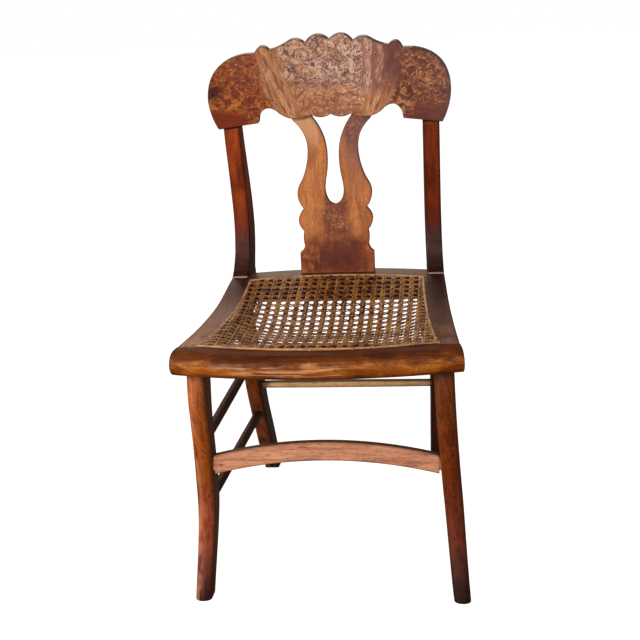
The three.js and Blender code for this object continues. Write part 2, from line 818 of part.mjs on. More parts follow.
// Side rails, dished on top, notched behind for the rear rail
const lipHalf = (y) => caneHalf(y) - lipWidth;
const lipStations = dishStations.map((station) => station.x).filter((y) => y < rearOpeningY);
const sideRailPlan = [
  new THREE.Vector2(outerX(frontSeamY), frontSeamY + fitGap),
  new THREE.Vector2(outerX(sideRailRearY), sideRailRearY),
  new THREE.Vector2(innerX(sideRailRearY), sideRailRearY),
  new THREE.Vector2(innerX(rearOpeningY), rearOpeningY),
  ...[...lipStations, rearOpeningY].reverse()
    .map((y) => new THREE.Vector2(lipHalf(y), Math.max(y, frontSeamY + fitGap))),
];
const sideRail = less(
  solid(planPrism(sideRailPlan, legHeight - overrun, railDepth + 2 * overrun))
    .intersect(solid(seatBlank(0))),
  [
    legTenon(frontLegTopX, frontTenonY, fitGap),
    legTenon(middleX(rearTenonY), rearTenonY, fitGap),
    ...postDowelYs.map((y) => postDowel(y, fitGap)),
    ...frontDowelXs.map((x) => frontDowel(x, fitGap)),
    ...rearDowelYs.map((y) => rearDowel(y, fitGap)),
  ],
);
addPair('side_rail', geometryOf(sideRail), darkWood);

// Front rail, swept across with its nose bowed forward
const noseCentreZ = seatHeight - noseRadius;
function frontRailRing(t) {
  const noseY = frontSeamY - noseReach + noseBow * t * t + noseRadius;
  const section = [new THREE.Vector2(frontSeamY, seatHeight)];
  for (let step = 0; step <= noseSteps; step += 1) {
    const angle = Math.PI / 2 + Math.PI * step / noseSteps;
    section.push(new THREE.Vector2(noseY + noseRadius * Math.cos(angle),
      noseCentreZ + noseRadius * Math.sin(angle)));
  }
  section.push(new THREE.Vector2(frontSeamY, noseCentreZ - noseRadius));
  return section.map(({ x: y, y: z }) => {
    const out = (frontSeamY - y) / (noseReach - noseBow);
    return new THREE.Vector3(t * (seatHalfWidth + frontRailFlare * out), y, z);
  });
}
const frontRail = less(
  solid(loft(Array.from({ length: railStations + 1 }, (_, i) => (
    frontRailRing(2 * i / railStations - 1))))),
  frontDowelXs.flatMap((x) => [frontDowel(x, fitGap), mirrored(frontDowel(x, fitGap))]),
);
add('front_rail', geometryOf(frontRail), goldenWood);

// Rear rail between the side rails, bowed behind, mortised for the splat
const rearRailBackY = rearOpeningY + rearRailEndDepth;
const rearEndX = (y) => innerX(y) - fitGap;
const rearRailBack = archShares.map((t) => new THREE.Vector2(t * rearEndX(rearRailBackY),
  rearRailBackY + rearRailBow * (1 - t * t)));
const rearRailPlan = [
  new THREE.Vector2(-rearEndX(rearOpeningY), rearOpeningY + fitGap),
  new THREE.Vector2(rearEndX(rearOpeningY), rearOpeningY + fitGap),
  ...rearRailBack.reverse(),
];
const rearRail = less(
  solid(planPrism(rearRailPlan, rearTopZ - rearRailHeight, rearRailHeight + overrun))
    .intersect(solid(seatBlank(0))),
  [
    footTenon(fitGap),
    ...rearDowelYs.flatMap((y) => [rearDowel(y, fitGap), mirrored(rearDowel(y, fitGap))]),
  ],
);
add('rear_rail', geometryOf(rearRail), redWood);

// Caned panel: one net of crossing strands that sags a little between the rails
const sagEndY = rearOpeningY - sagRearMargin;
const sagHalf = (y) => lipHalf(y) - sagSideMargin;
function caneDrop(x, y) {
  const across = THREE.MathUtils.clamp(Math.abs(x) / sagHalf(y), 0, 1);
  const run = THREE.MathUtils.clamp((y - frontSeamY) / (sagEndY - frontSeamY), 0, 1);
  return caneSag * (1 - across ** 3) * atShare(sagRunShares, run, 1);
}
const kinkYs = dishStations.map((station) => station.x)
  .filter((y) => y > caneCornerY && y < caneBackY(0));
const sideYs = [caneCornerY, ...kinkYs.filter((y) => y < caneRearY), caneRearY];
const caneSide = sideYs.map((y) => new THREE.Vector2(caneHalf(y) - caneInset,
  y - (y === caneRearY ? caneInset : 0)));
const caneFront = archShares.slice(1, -1).map((t) => new THREE.Vector2(t * caneFrontHalf,
  caneFrontY(t * caneFrontHalf) + caneInset));
const caneBack = archShares.slice(1, -1).reverse().map((t) => new THREE.Vector2(t * caneRearHalf,
  caneBackY(t * caneRearHalf) - caneInset));
const caneOutline = [
  ...caneFront,
  ...caneSide,
  ...caneBack,
  ...mirroredBack(caneSide),
];
const inOpening = (x, y) => Math.abs(x) < lipHalf(y) - gapMargin
  && y > frontSeamY + gapMargin && y < rearOpeningY - gapMargin;
const columns = Math.ceil(caneFrontHalf / canePitch);
const rows = Math.floor((rearOpeningY - frontSeamY) / canePitch);
const firstRowY = (rearOpeningY + frontSeamY - (rows - 1) * canePitch) / 2;
const caneGaps = [];
for (let row = 0; row < rows; row += 1) {
  for (let column = -columns; column <= columns; column += 1) {
    const [x, y, half] = [column * canePitch, firstRowY + row * canePitch, caneGap / 2];
    const corners = box(x - half, x + half, y - half, y + half);
    if (corners.every((corner) => inOpening(corner.x, corner.y))) {
      caneGaps.push(planPrism(corners, legHeight, 2 * railDepth));
    }
  }
}
const caneBlankYs = [caneCornerY - caneFrontBow - overrun, frontSeamY, ...kinkYs,
  caneBackY(0) + overrun];
const caneBlank = loft(caneBlankYs.map((y) => {
  const at = (x, rise) => new THREE.Vector3(x, y, seatTopZ(y) + caneLift + rise - caneDrop(x, y));
  const side = caneFrontHalf + overrun;
  const xs = [-side, ...sagShares.map((share) => share * sagHalf(y)), side];
  return [...xs.map((x) => at(x, 0)), ...xs.reverse().map((x) => at(x, caneThickness))];
}));
const caneNet = less(
  solid(caneBlank).intersect(solid(planPrism(caneOutline, legHeight, 2 * railDepth))),
  caneGaps,
);
add('cane_panel', geometryOf(caneNet), cane);

// Binder cane over the panel's edge, one length to a side
const binderLift = caneThickness + caneLift + 2 * fitGap;
function binderStrip(path) {
  return loft(path.map(({ x, y, inX, inY }) => [
    [0, 0], [binderWidth, 0], [binderWidth, binderThickness], [0, binderThickness],
  ].map(([inset, rise]) => new THREE.Vector3(x + inX * inset, y + inY * inset,
    seatTopZ(y + inY * inset) + binderLift + rise))));
}
const sideBinderYs = [caneCornerY + binderWidth + fitGap,
  ...kinkYs.filter((y) => y < caneRearY - binderWidth - fitGap), caneRearY - binderWidth - fitGap];
const sideBinder = binderStrip(sideBinderYs.map((y) => ({ x: caneHalf(y), y, inX: -1, inY: 0 })));
addPair('side_binder', sideBinder, binder);
add('front_binder', binderStrip(archShares.map((t) => (
  { x: t * caneFrontHalf, y: caneFrontY(t * caneFrontHalf), inX: 0, inY: 1 }))), binder);
add('rear_binder', binderStrip(archShares.map((t) => (
  { x: t * caneRearHalf, y: caneBackY(t * caneRearHalf), inX: 0, inY: -1 }))), binder);

export default chair;
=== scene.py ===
# %% [markdown]
# # A lyre back chair in burl veneer and cane
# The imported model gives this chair's real sizes, and this file gives it its looks. Each wooden
# member is worked out again as a smooth surface with eased edges, in the place of its plain
# solid, and the seat is woven strand by strand. Sizes are in millimetres until a mesh is made.

# %% Load the frame
import math

import bmesh
import bpy
import mathutils
import numpy as np
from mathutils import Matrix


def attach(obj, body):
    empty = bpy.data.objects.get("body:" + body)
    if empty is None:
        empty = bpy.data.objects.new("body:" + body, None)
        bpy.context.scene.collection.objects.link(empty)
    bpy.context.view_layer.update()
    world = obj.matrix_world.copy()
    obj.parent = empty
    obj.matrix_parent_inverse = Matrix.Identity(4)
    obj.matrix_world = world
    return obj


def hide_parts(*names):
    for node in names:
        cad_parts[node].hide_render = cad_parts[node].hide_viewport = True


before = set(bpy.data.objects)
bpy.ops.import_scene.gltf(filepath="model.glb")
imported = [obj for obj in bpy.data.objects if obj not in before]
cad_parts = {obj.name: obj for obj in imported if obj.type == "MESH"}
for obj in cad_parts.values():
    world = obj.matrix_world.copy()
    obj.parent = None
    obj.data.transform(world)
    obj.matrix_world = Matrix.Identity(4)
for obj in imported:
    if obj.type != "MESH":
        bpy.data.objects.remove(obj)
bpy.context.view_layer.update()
MM = 0.001

# %% [markdown]
# ## The camera
# The photograph was taken from about two metres in front of the chair and from somewhat above
# its top, with the camera held slightly askew. A camera object looks down its own -Z, so its
# three axes are worked out from yaw, pitch and roll and set as a matrix, which is plainer than
# a chain of rotations.

# %% Camera at the photograph's place
def stand(thing, *columns):
    """Links an object to the scene, its three axes and its place being the columns of its matrix."""
    thing.matrix_world = mathutils.Matrix([*np.column_stack(columns).tolist(), [0, 0, 0, 1]])
    bpy.context.scene.collection.objects.link(thing)


CAMERA_PLACE = np.array([235.2, -1925.1, 1161.3])
YAW, PITCH, ROLL = math.radians(-7.522), math.radians(21.12), math.radians(-3.687)
FOCAL_PIXELS = 1224
FRAME_PIXELS = 640
SENSOR = 36

forward = np.array([
    math.sin(YAW) * math.cos(PITCH),
    math.cos(YAW) * math.cos(PITCH),
    -math.sin(PITCH),
])
level_right = np.array([math.cos(YAW), -math.sin(YAW), 0])
level_up = np.cross(level_right, forward)
camera_right = math.cos(ROLL) * level_right + math.sin(ROLL) * level_up
camera_up = math.cos(ROLL) * level_up - math.sin(ROLL) * level_right

camera = bpy.data.objects.new("camera", bpy.data.cameras.new("camera"))
stand(camera, camera_right, camera_up, -forward, CAMERA_PLACE * MM)
camera.data.sensor_width = SENSOR
camera.data.lens = FOCAL_PIXELS * SENSOR / FRAME_PIXELS
bpy.context.scene.camera = camera
print("lens in mm:", round(camera.data.lens, 2))

# %% [markdown]
# ## Sizes
# These are the chair's driving sizes, the same as in the CAD source. Outlines are short tables
# of shares, and a smooth cubic is run through them, because a maker's template is a fair curve
# through a few marks and not a chain of straight cuts.

# %% Sizes of the seat
SEAT_HEIGHT = 450
RAIL_DEPTH = 45
LEG_HEIGHT = SEAT_HEIGHT - RAIL_DEPTH
FRONT_SEAM_Y = -207
SEAT_HALF_WIDTH = 219
SIDE_TAPER = 0.085
PLANK = 28
GAP = 0.3
SIDE_RAIL_REAR_Y = 190
DISH_DEPTH = 17.5
REAR_OPENING_Y = 92
DISH_SHARES = np.array([
    [0, 1], [0.1, 0.72], [0.2, 0.44], [0.3, 0.22], [0.4, 0.08], [0.5, 0],
    [0.6, 0.05], [0.7, 0.32], [0.79, 0.62], [0.84, 0.74], [1, 0.74],
])


def flowing(at, stations, values):
    """A smooth curve through given values: in each gap a cubic, its end slopes from the neighbours."""
    at, stations, values = (np.asarray(v, float) for v in (at, stations, values))
    slopes = np.gradient(values, stations)
    left = np.clip(np.searchsorted(stations, at, side="right") - 1, 0, len(stations) - 2)
    span = stations[left + 1] - stations[left]
    t = np.clip((at - stations[left]) / span, 0, 1)
    from_left = values[left] * (1 + 2 * t) + slopes[left] * span * t
    from_right = values[left + 1] * (3 - 2 * t) - slopes[left + 1] * span * (1 - t)
    return from_left * (1 - t) ** 2 + from_right * t ** 2


def outer_x(y):
    """Outer face of a side: a plane that draws in towards the back."""
    return SEAT_HALF_WIDTH - SIDE_TAPER * (y - FRONT_SEAM_Y)


def seat_top(y):
    """Height of the dished seat frame at a depth y."""
    stations = FRONT_SEAM_Y + DISH_SHARES[:, 0] * (SIDE_RAIL_REAR_Y - FRONT_SEAM_Y)
    return flowing(y, stations, SEAT_HEIGHT - DISH_DEPTH * (1 - DISH_SHARES[:, 1]))


REAR_TOP_Z = float(seat_top(SIDE_RAIL_REAR_Y))
UP = np.array([0, 0, 1])
print("seat frame: front top", SEAT_HEIGHT, "rear top", round(REAR_TOP_Z, 1))

# %% [markdown]
# ## Meshes from grids
# A stick of timber is a closed section carried along its length, so its points form a grid of
# rings. A shaped board is better made from its outline: rows of points run from a spine inside
# it to the rim, round the eased edge and back to the spine behind. Both keep the faces even,
# which a boolean or a filled outline wouldn't. Each point also stores how far it lies from
# the nearest edge, so that the finishes can wear and darken there.

# %% Grids into meshes
WELD = 0.002
EDGE_REACH = 60
END_STEPS = 4
PLAIN_TONE = 0.5


def unit(vectors):
    """The vectors' directions, each of length 1."""
    return vectors / np.linalg.norm(vectors, axis=-1, keepdims=True)


def placed(x, y, z):
    """Points in space from their coordinates, where one may serve a whole row or grid."""
    return np.stack(np.broadcast_arrays(x, y, z), -1)


def piece(name, points, faces, finish, marked, welded=False):
    """Puts points, faces and marked values into a mesh, turns it outwards and lets it ride."""
    mesh = bpy.data.meshes.new(name)
    mesh.from_pydata((points * MM).tolist(), [], faces)
    for key, values in marked.items():
        mesh.attributes.new(key, "FLOAT", "POINT").data.foreach_set("value", values)
    work = bmesh.new()
    work.from_mesh(mesh)
    if welded:
        bmesh.ops.remove_doubles(work, verts=work.verts, dist=WELD * MM)
    bmesh.ops.recalc_face_normals(work, faces=work.faces)
    work.to_mesh(mesh)
    work.free()
    mesh.shade_smooth()
    mesh.materials.append(finish)
    made = bpy.data.objects.new(name, mesh)
    bpy.context.scene.collection.objects.link(made)
    made.modifiers.new("even shading", "WEIGHTED_NORMAL").keep_sharp = True
    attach(made, "root")
    return made


def ring_quads(index):
    """Quads between neighbouring rings, from a grid of the rings' point numbers."""
    turned = np.roll(index, -1, axis=1)
    return np.stack([index[:-1], turned[:-1], turned[1:], index[1:]], -1).reshape(-1, 4).tolist()


def end_fans(index):
    """Triangles from each end ring of a grid to its own pole, two points numbered after the grid."""
    pole = index[-1, -1] + 1
    first = [np.roll(index[0], -1), index[0], np.full_like(index[0], pole)]
    last = [index[-1], np.roll(index[-1], -1), np.full_like(index[0], pole + 1)]
    return [*np.stack(first, -1).tolist(), *np.stack(last, -1).tolist()]


def skins(name, grids, finish, edges=None, tones=None):
    """One piece from grids of rings, each closed at both ends with a fan round its middle."""
    points, faces, edge, tone, start = [], [], [], [], 0
    for i, rings in enumerate(grids):
        size = rings.shape[0] * rings.shape[1]
        index = start + np.arange(size).reshape(rings.shape[:2])
        faces += ring_quads(index) + end_fans(index)
        points.append(np.vstack([rings.reshape(-1, 3), rings[0].mean(0), rings[-1].mean(0)]))
        far = np.full(size, EDGE_REACH) if edges is None else edges[i].ravel()
        edge.append(np.append(far, [0, 0]))
        tone.append(np.full(size + 2, PLAIN_TONE if tones is None else tones[i]))
        start += size + 2
    marked = {"edge": np.concatenate(edge), "tone": np.concatenate(tone)}
    return piece(name, np.vstack(points), faces, finish, marked)


def both_sides(rings):
    """A grid for the chair's right-hand side, and its mirror image for the left."""
    return ("right", rings), ("left", rings * [-1, 1, 1])


def softened(rings, radius):
    """Rounds both ends of a grid of rings: an end ring is pulled back, and smaller rings follow."""
    turn = np.linspace(0, math.pi / 2, END_STEPS)[:, None, None]
    ends = []
    for first, second in ((rings[0], rings[1]), (rings[-1], rings[-2])):
        middle = first.mean(0)
        inwards = unit(second.mean(0) - middle)
        size = np.linalg.norm(first - middle, axis=1).min()
        shrink = 1 - radius * (1 - np.cos(turn)) / size
        ends.append(middle + (first - middle) * shrink + inwards * radius * (1 - np.sin(turn)))
    return np.concatenate([ends[0][::-1], rings[1:-1], ends[1]])


def repeat_ends(edge):
    """Edge distances for a grid that softened() made longer, with none at its ends."""
    rim = np.zeros((END_STEPS - 1, edge.shape[1]))
    return np.concatenate([rim, np.minimum(edge, EDGE_REACH), rim])


CORNER_STEPS = 4
FLAT_STEPS = 6


def eased_box(low_u, high_u, low_v, high_v, radius):
    """Rings round boxes with quarter circles for corners, and how far each point is from a corner."""
    sizes = np.broadcast_arrays(low_u, high_u, low_v, high_v, radius)
    left, right, bottom, top, ease = (v[:, None, None] for v in sizes)
    turn = np.linspace(0, math.pi / 2, CORNER_STEPS + 1)
    angles = turn + math.pi / 2 * np.arange(4)[:, None]
    right_hand = np.array([1, 0, 0, 1])[:, None]
    upper = np.array([1, 1, 0, 0])[:, None]
    u = np.where(right_hand, right - ease, left + ease) + ease * np.cos(angles)
    v = np.where(upper, top - ease, bottom + ease) + ease * np.sin(angles)
    corners = np.stack([u, v], -1)
    share = np.arange(1, FLAT_STEPS)[:, None] / FLAT_STEPS
    begin = corners[:, :, -1:, :]
    finish = np.roll(corners, -1, axis=1)[:, :, :1, :]
    flats = begin + (finish - begin) * share
    length = np.linalg.norm(finish - begin, axis=-1)
    away = np.concatenate([
        np.zeros(corners.shape[:3]),
        length * np.minimum(share, 1 - share)[:, 0],
    ], axis=2)
    rings = np.concatenate([corners, flats], axis=2).reshape(len(corners), -1, 2)
    return rings[..., 0], rings[..., 1], away.reshape(len(corners), -1)


# %% [markdown]
# ## Colours and nodes
# Colours are picked as screen values, so one function turns them to linear light. One small
# function adds any node with its settings and links, which keeps each finish short to read.

# %% Helpers for finishes
def paint(code):
    """A screen colour such as #a85a36 as linear red, green, blue and full alpha."""
    screen = np.array([int(code[i:i + 2], 16) for i in (1, 3, 5)]) / 255
    linear = np.where(screen <= 0.04045, screen / 12.92, ((screen + 0.055) / 1.055) ** 2.4)
    return (*linear.tolist(), 1)


def add(at, kind, inputs=None, stops=None, **settings):
    """Adds one node to a tree, or to a socket's tree; inputs are values or the sockets to link."""
    tree = at.id_data
    made = tree.nodes.new("ShaderNode" + kind)
    for key, value in settings.items():
        setattr(made, key, value)
    for key, value in (inputs or {}).items():
        if isinstance(value, bpy.types.NodeSocket):
            tree.links.new(value, made.inputs[key])
        else:
            made.inputs[key].default_value = value
    if stops:
        ramp = made.color_ramp.elements
        while len(ramp) < len(stops):
            ramp.new(1)
        for element, (position, code) in zip(ramp, stops):
            element.position = position
            element.color = paint(code)
    return made


def maths(operation, *values):
    """The result of one Math node, whose first value is a socket."""
    return add(values[0], "Math", dict(enumerate(values)), operation=operation).outputs[0]


def ranged(value, low, high, start=0.0, end=1.0, **settings):
    """A value brought from one range to another, where it stops at both ends."""
    return add(value, "MapRange", {
        "Value": value, "From Min": low, "From Max": high, "To Min": start, "To Max": end,
    }, **settings).outputs[0]


def blank_finish(name, roughness, **settings):
    """A material with a Principled shader, and its Object coordinates."""
    material = bpy.data.materials.new(name)
    material.use_nodes = True
    shader = material.node_tree.nodes["Principled BSDF"]
    shader.inputs["Roughness"].default_value = roughness
    for key, value in settings.items():
        shader.inputs[key.replace("_", " ")].default_value = value
    return material, add(material.node_tree, "TexCoord").outputs["Object"]


def joined(material, **sockets):
    """The material, once each socket is linked to the input of its shader that it is named for."""
    shader = material.node_tree.nodes["Principled BSDF"]
    for key, socket in sockets.items():
        material.node_tree.links.new(socket, shader.inputs[key.replace("_", " ")])
    return material


def bumped(height, strength, depth_mm, **settings):
    """The normal of a surface whose relief follows a height."""
    return add(height, "Bump", {"Height": height, "Strength": strength, "Distance": depth_mm * MM},
               **settings).outputs[0]


# %% [markdown]
# ## Marks in wood
# Old wood is never one colour. Fibres, pores, growth bands, clouds of stain and worn places all
# lie over one another, each at its own size. Each kind of mark here is noise with a real size in
# millimetres on each axis, cut off between two levels, and each becomes one coat over the base.
# Large changes, such as a post that grows darker towards the seat, are fades along an axis.

# %% Marks, fades and coats
BORDER_GRAIN = 30


def noise(place, size_mm, detail=3.0, **inputs):
    """Noise with grains of a real size, which is one for all axes or one to an axis."""
    sizes = (np.broadcast_to(size_mm, 3) * MM).tolist()
    cells = add(place, "VectorMath", {0: place, 1: sizes}, operation="DIVIDE").outputs[0]
    return add(place, "TexNoise", {"Vector": cells, "Scale": 1, "Detail": detail,
                                   **inputs}).outputs["Fac"]


def marks(place, size_mm, low, high, amount=1.0, detail=3.0, **inputs):
    """How much a mark shows: 0 where noise is below the low level, the amount above the high one."""
    return ranged(noise(place, size_mm, detail, **inputs), low, high, end=amount,
                  interpolation_type="SMOOTHSTEP")


def fade(place, axis, start_mm, end_mm, wander_mm=12, amount=1.0, mirror=False):
    """Runs from 0 to the amount between two places on an axis, with an uneven border."""
    position = add(place, "SeparateXYZ", {0: place}).outputs[axis]
    if mirror:
        position = maths("ABSOLUTE", position)
    wander = wander_mm * MM
    moved = maths("MULTIPLY_ADD", noise(place, BORDER_GRAIN, 4), 2 * wander, position)
    return ranged(moved, start_mm * MM + wander, end_mm * MM + wander, end=amount,
                  interpolation_type="SMOOTHSTEP")


def between(place, axis, start_mm, end_mm, soft_mm, wander_mm=8, amount=1.0):
    """Shows between two places on an axis, with soft and uneven borders."""
    return overlap(fade(place, axis, start_mm - soft_mm, start_mm + soft_mm, wander_mm),
                   fade(place, axis, end_mm + soft_mm, end_mm - soft_mm, wander_mm, amount))


def by_edge(place, reach_mm, amount):
    """Shows near an edge: the amount at the edge itself and 0 a few millimetres away."""
    edge = add(place, "Attribute", attribute_name="edge").outputs["Fac"]
    return ranged(edge, 0, reach_mm, start=amount, end=0)


def facing(place, axis, start, end, amount=1.0):
    """Shows where a surface turns along an axis: from one share of it in the normal to another."""
    normal = add(place, "TexCoord").outputs["Normal"]
    return ranged(add(place, "SeparateXYZ", {0: normal}).outputs[axis], start, end, end=amount)


def overlap(first, *others):
    """Shows only where all of its masks do: their product."""
    for other in others:
        first = maths("MULTIPLY", first, other)
    return first


def coats(base, layers):
    """Lays coats over a base colour: each has a mask, a colour and, unless they mix, a blend."""
    for mask, colour, *blend in layers:
        top = paint(colour) if isinstance(colour, str) else colour
        base = add(mask, "MixRGB", {"Fac": mask, "Color1": base, "Color2": top},
                   blend_type=blend[0] if blend else "MIX").outputs[0]
    return base


def ramped(value, stops):
    """Colours picked by a value, from stops of a level and a colour each."""
    return add(value, "ValToRGB", {"Fac": value}, stops=stops).outputs[0]


# %% [markdown]
# ## Straight grain under shellac
# Most members are walnut, sawn along the fibres, stained brown and finished with shellac. The
# same marks serve them all, turned to run along each plank: broad growth bands, fine fibres,
# clouds where stain went in deeper, and short open pores. Shellac is glossy where it lies whole
# and duller in the pores, so the roughness follows the same fibres as the colour.

# %% A shellacked plank
def along_grain(along, across_mm, length_mm):
    """A mark's size on X, Y and Z when it is long on one axis."""
    return [length_mm if axis == along else across_mm for axis in "XYZ"]


def plank(name, along, base_of, extra=None, grain=1.0, gloss=0.36, coat=0.2, shine=0.5):
    """A stained and shellacked plank: base colour, bands, fibres, clouds, pores and dark edges."""
    material, place = blank_finish(name, gloss, Coat_Weight=coat, Coat_Roughness=0.16,
                                   Specular_IOR_Level=shine)
    bands = marks(place, along_grain(along, 7, 170), 0.42, 0.66, 0.6 * grain, Distortion=0.7)
    light = marks(place, along_grain(along, 4.3, 120), 0.48, 0.72, 0.5 * grain, Distortion=0.5)
    fibres = marks(place, along_grain(along, 0.9, 30), 0.42, 0.64, 0.55 * grain, 4, Roughness=0.7)
    clouds = marks(place, along_grain(along, 30, 62), 0.46, 0.68, 0.6 * grain, 4)
    pores = marks(place, along_grain(along, 0.7, 9), 0.6, 0.68, 0.7, 1)
    colour = coats(base_of(place), [
        (bands, "#a8846c", "MULTIPLY"),
        (light, "#4a2c14", "SCREEN"),
        (fibres, "#a58a78", "MULTIPLY"),
        (clouds, "#93715e", "MULTIPLY"),
        (pores, "#5c4236", "MULTIPLY"),
        # Dark edges: patina, and painted shade at the rounded edges.
        (by_edge(place, 2.6, 0.55), "#6e4c3c", "MULTIPLY"),
        *(extra(place) if extra else []),
    ])
    relief = maths("ADD", fibres, pores)
    return joined(material, Base_Color=colour, Normal=bumped(relief, 0.35, 0.08, invert=True),
                  Roughness=ranged(relief, 0, 1, start=gloss, end=gloss + 0.16))


def even(code):
    """A base of one colour."""
    return lambda place: paint(code)


def scaled(axis, start_mm, end_mm, *colours):
    """A base of colours spread evenly along an axis and blended into one another."""
    stops = [(i / (len(colours) - 1), colour) for i, colour in enumerate(colours)]
    return lambda place: ramped(fade(place, axis, start_mm, end_mm, 14), stops)


def leg_wear_and_painted_light(place):
    """Darker feet, dark kicks and dents; a painted highlight on the left front, painted shade on the
    right.
    """
    # Painted highlight: pale streaks on the left leg's faces that turn to the left and the front.
    painted_highlight = overlap(facing(place, "X", 0.1, -0.5), facing(place, "Y", -0.15, -0.6),
                     fade(place, "X", 0, -100))
    return [
        (fade(place, "Z", 105, 0, 14, 0.95), "#4a3026", "MULTIPLY"),
        (marks(place, (5, 5, 9), 0.62, 0.7, 0.7, 5), "#3c2015", "MULTIPLY"),
        (marks(place, (2.2, 2.2, 2.6), 0.68, 0.72, 0.85, 2), "#241009"),
        # Painted shade: the right leg darker, and every face turned to the right darker.
        (fade(place, "X", -60, 170, 5, 0.6), "#8f6650", "MULTIPLY"),
        (facing(place, "X", 0.35, 0.95, 0.85), "#3a1c10"),
        (overlap(painted_highlight, marks(place, (9, 9, 60), 0.38, 0.56, 0.6)), "#d89068"),
    ]


def nose_highlight_and_flecks(place):
    """A painted highlight of pale streaks along the middle of the front rail's nose, and short dark
    flecks.
    """
    middle = overlap(between(place, "Z", 422, 438, 5), between(place, "X", -140, 60, 40))
    return [
        (marks(place, (14, 10, 2.4), 0.56, 0.66, 0.55, 4), "#52280c"),
        # Painted highlight: pale streaks midway down the nose.
        (overlap(middle, marks(place, (40, 30, 4), 0.46, 0.6, 0.7, 5)), "#e6b48c"),
    ]


def painted_shade_right(place):
    """Painted shade: the chair's right side is darker."""
    return [(fade(place, "X", -60, 170, 5, 0.6), "#9a7262", "MULTIPLY")]


def post_painted_light(place):
    """A post's painted light: shade on its right side and on faces turned from the front, a highlight on
    the toe's edge.
    """
    toe = overlap(fade(place, "Y", 132, 127, 1), fade(place, "Z", 449, 447, 1))
    return [
        *painted_shade_right(place),
        # Painted shade on the faces turned away from the front.
        (facing(place, "Y", -0.2, 0.3, 0.5), "#401a12"),
        # Painted highlight along the toe's edge.
        (toe, "#c9a294"),
    ]


post_wood = plank("shellacked_post_walnut", "Z",
                  scaled("Z", 436, 640, "#340a0a", "#5c1816", "#86321a", "#a44416", "#b04e1a"),
                  post_painted_light, coat=0.05, shine=0.32)
# The side rails are darker towards the back and pale to a grey tan at the front, a painted sheen.
rail_wood = plank("rail_walnut_painted_sheen", "Y",
                  scaled("Y", 200, -215, "#300f0e", "#5a2a22", "#8c5a46", "#c39470"),
                  painted_shade_right, gloss=0.42, coat=0.1, shine=0.42)
# Down the nose the colour runs from dark at the top to a pale painted highlight midway, and stays bright
# on the underside, painted light over its shade.
nose_wood = plank("golden_rail_walnut_painted_highlight", "X",
                  scaled("Z", 453, 409, "#63300c", "#8c4c18", "#cc843e", "#cc7a26", "#c86a10",
                         "#8a440f"),
                  nose_highlight_and_flecks, gloss=0.5, coat=0.0, shine=0.2)
rear_rail_wood = plank("rear_rail_walnut", "X", even("#50221a"), shine=0.42)
leg_wood = plank("golden_leg_walnut", "Z",
                 scaled("Z", 30, 420, "#964430", "#bc5e36", "#b85c08", "#bc600c", "#d07c40"),
                 leg_wear_and_painted_light, coat=0.1, shine=0.36)
rear_leg_wood = plank("rear_leg_walnut", "Z", even("#843c12"), leg_wear_and_painted_light, coat=0.05, shine=0.36)
# The side rungs get a much darker brown than the other rungs and stretchers, a painted shade.
rung_wood = plank("side_rungs_painted_shade", "Y", even("#4a2820"), gloss=0.45, coat=0.0, shine=0.3)


def dark_top(place):
    """Darker on the face that points up."""
    return [(facing(place, "Z", 0.55, 0.85, 0.92), "#351709")]


rear_rung_wood = plank("pale_rear_rung", "X", even("#ffd49a"), dark_top, grain=0.4, gloss=0.5)
arch_wood = plank("worn_pale_beech", "X", even("#f0b090"), dark_top, grain=0.8, gloss=0.5, coat=0.05)
crest_wood = plank("crest_core_walnut", "X", even("#3d1b14"))

# %% [markdown]
# ## Burl veneer
# Burl is cut from a growth where the fibres swirl round hundreds of sleeping buds. Contour lines
# of a slow noise make such nested swirls, because each hill and hollow of the noise gets rings
# round it. Buds are dots with a pale rim, one to a cell. Between the burls of the wings and of
# the middle run two bands of straight grain below the knobs, and the lower corners are plain.

# %% Burl finish
BAND_SLANT = -0.32


def swirls(place, size_mm, rings, low, high, amount=1.0):
    """Lines round the hills of slow noise: where the sine of its rings passes from low to high."""
    slow = noise(place, size_mm, Roughness=0.5, Distortion=0.5)
    return ranged(maths("SINE", maths("MULTIPLY", slow, rings * 2 * math.pi)), low, high, end=amount)


def buds(place, size_mm, inner, outer, chosen):
    """Rings between two radii round scattered points, as shares of a cell; some cells stay empty."""
    points = add(place, "TexVoronoi", {"Vector": place, "Scale": 1 / (size_mm * MM)}).outputs
    edge = (outer - inner) / 3
    return overlap(ranged(points["Distance"], inner - edge, inner),
                   ranged(points["Distance"], outer, outer + edge, start=1, end=0),
                   maths("LESS_THAN", points["Color"], chosen))


def figure(place, size_mm, curl):
    """Curling noise, the ground of a burl's figure: its own slopes bend it where it is strong."""
    return noise(place, size_mm, 6, Roughness=0.62, Distortion=curl)


def slanted(place):
    """Object coordinates leaned like the straight bands, which run down towards the middle."""
    x, y, z = add(place, "SeparateXYZ", {0: place}).outputs
    lean = maths("MULTIPLY_ADD", z, BAND_SLANT, maths("ABSOLUTE", x))
    return add(place, "CombineXYZ", {0: lean, 1: y, 2: z}).outputs[0]


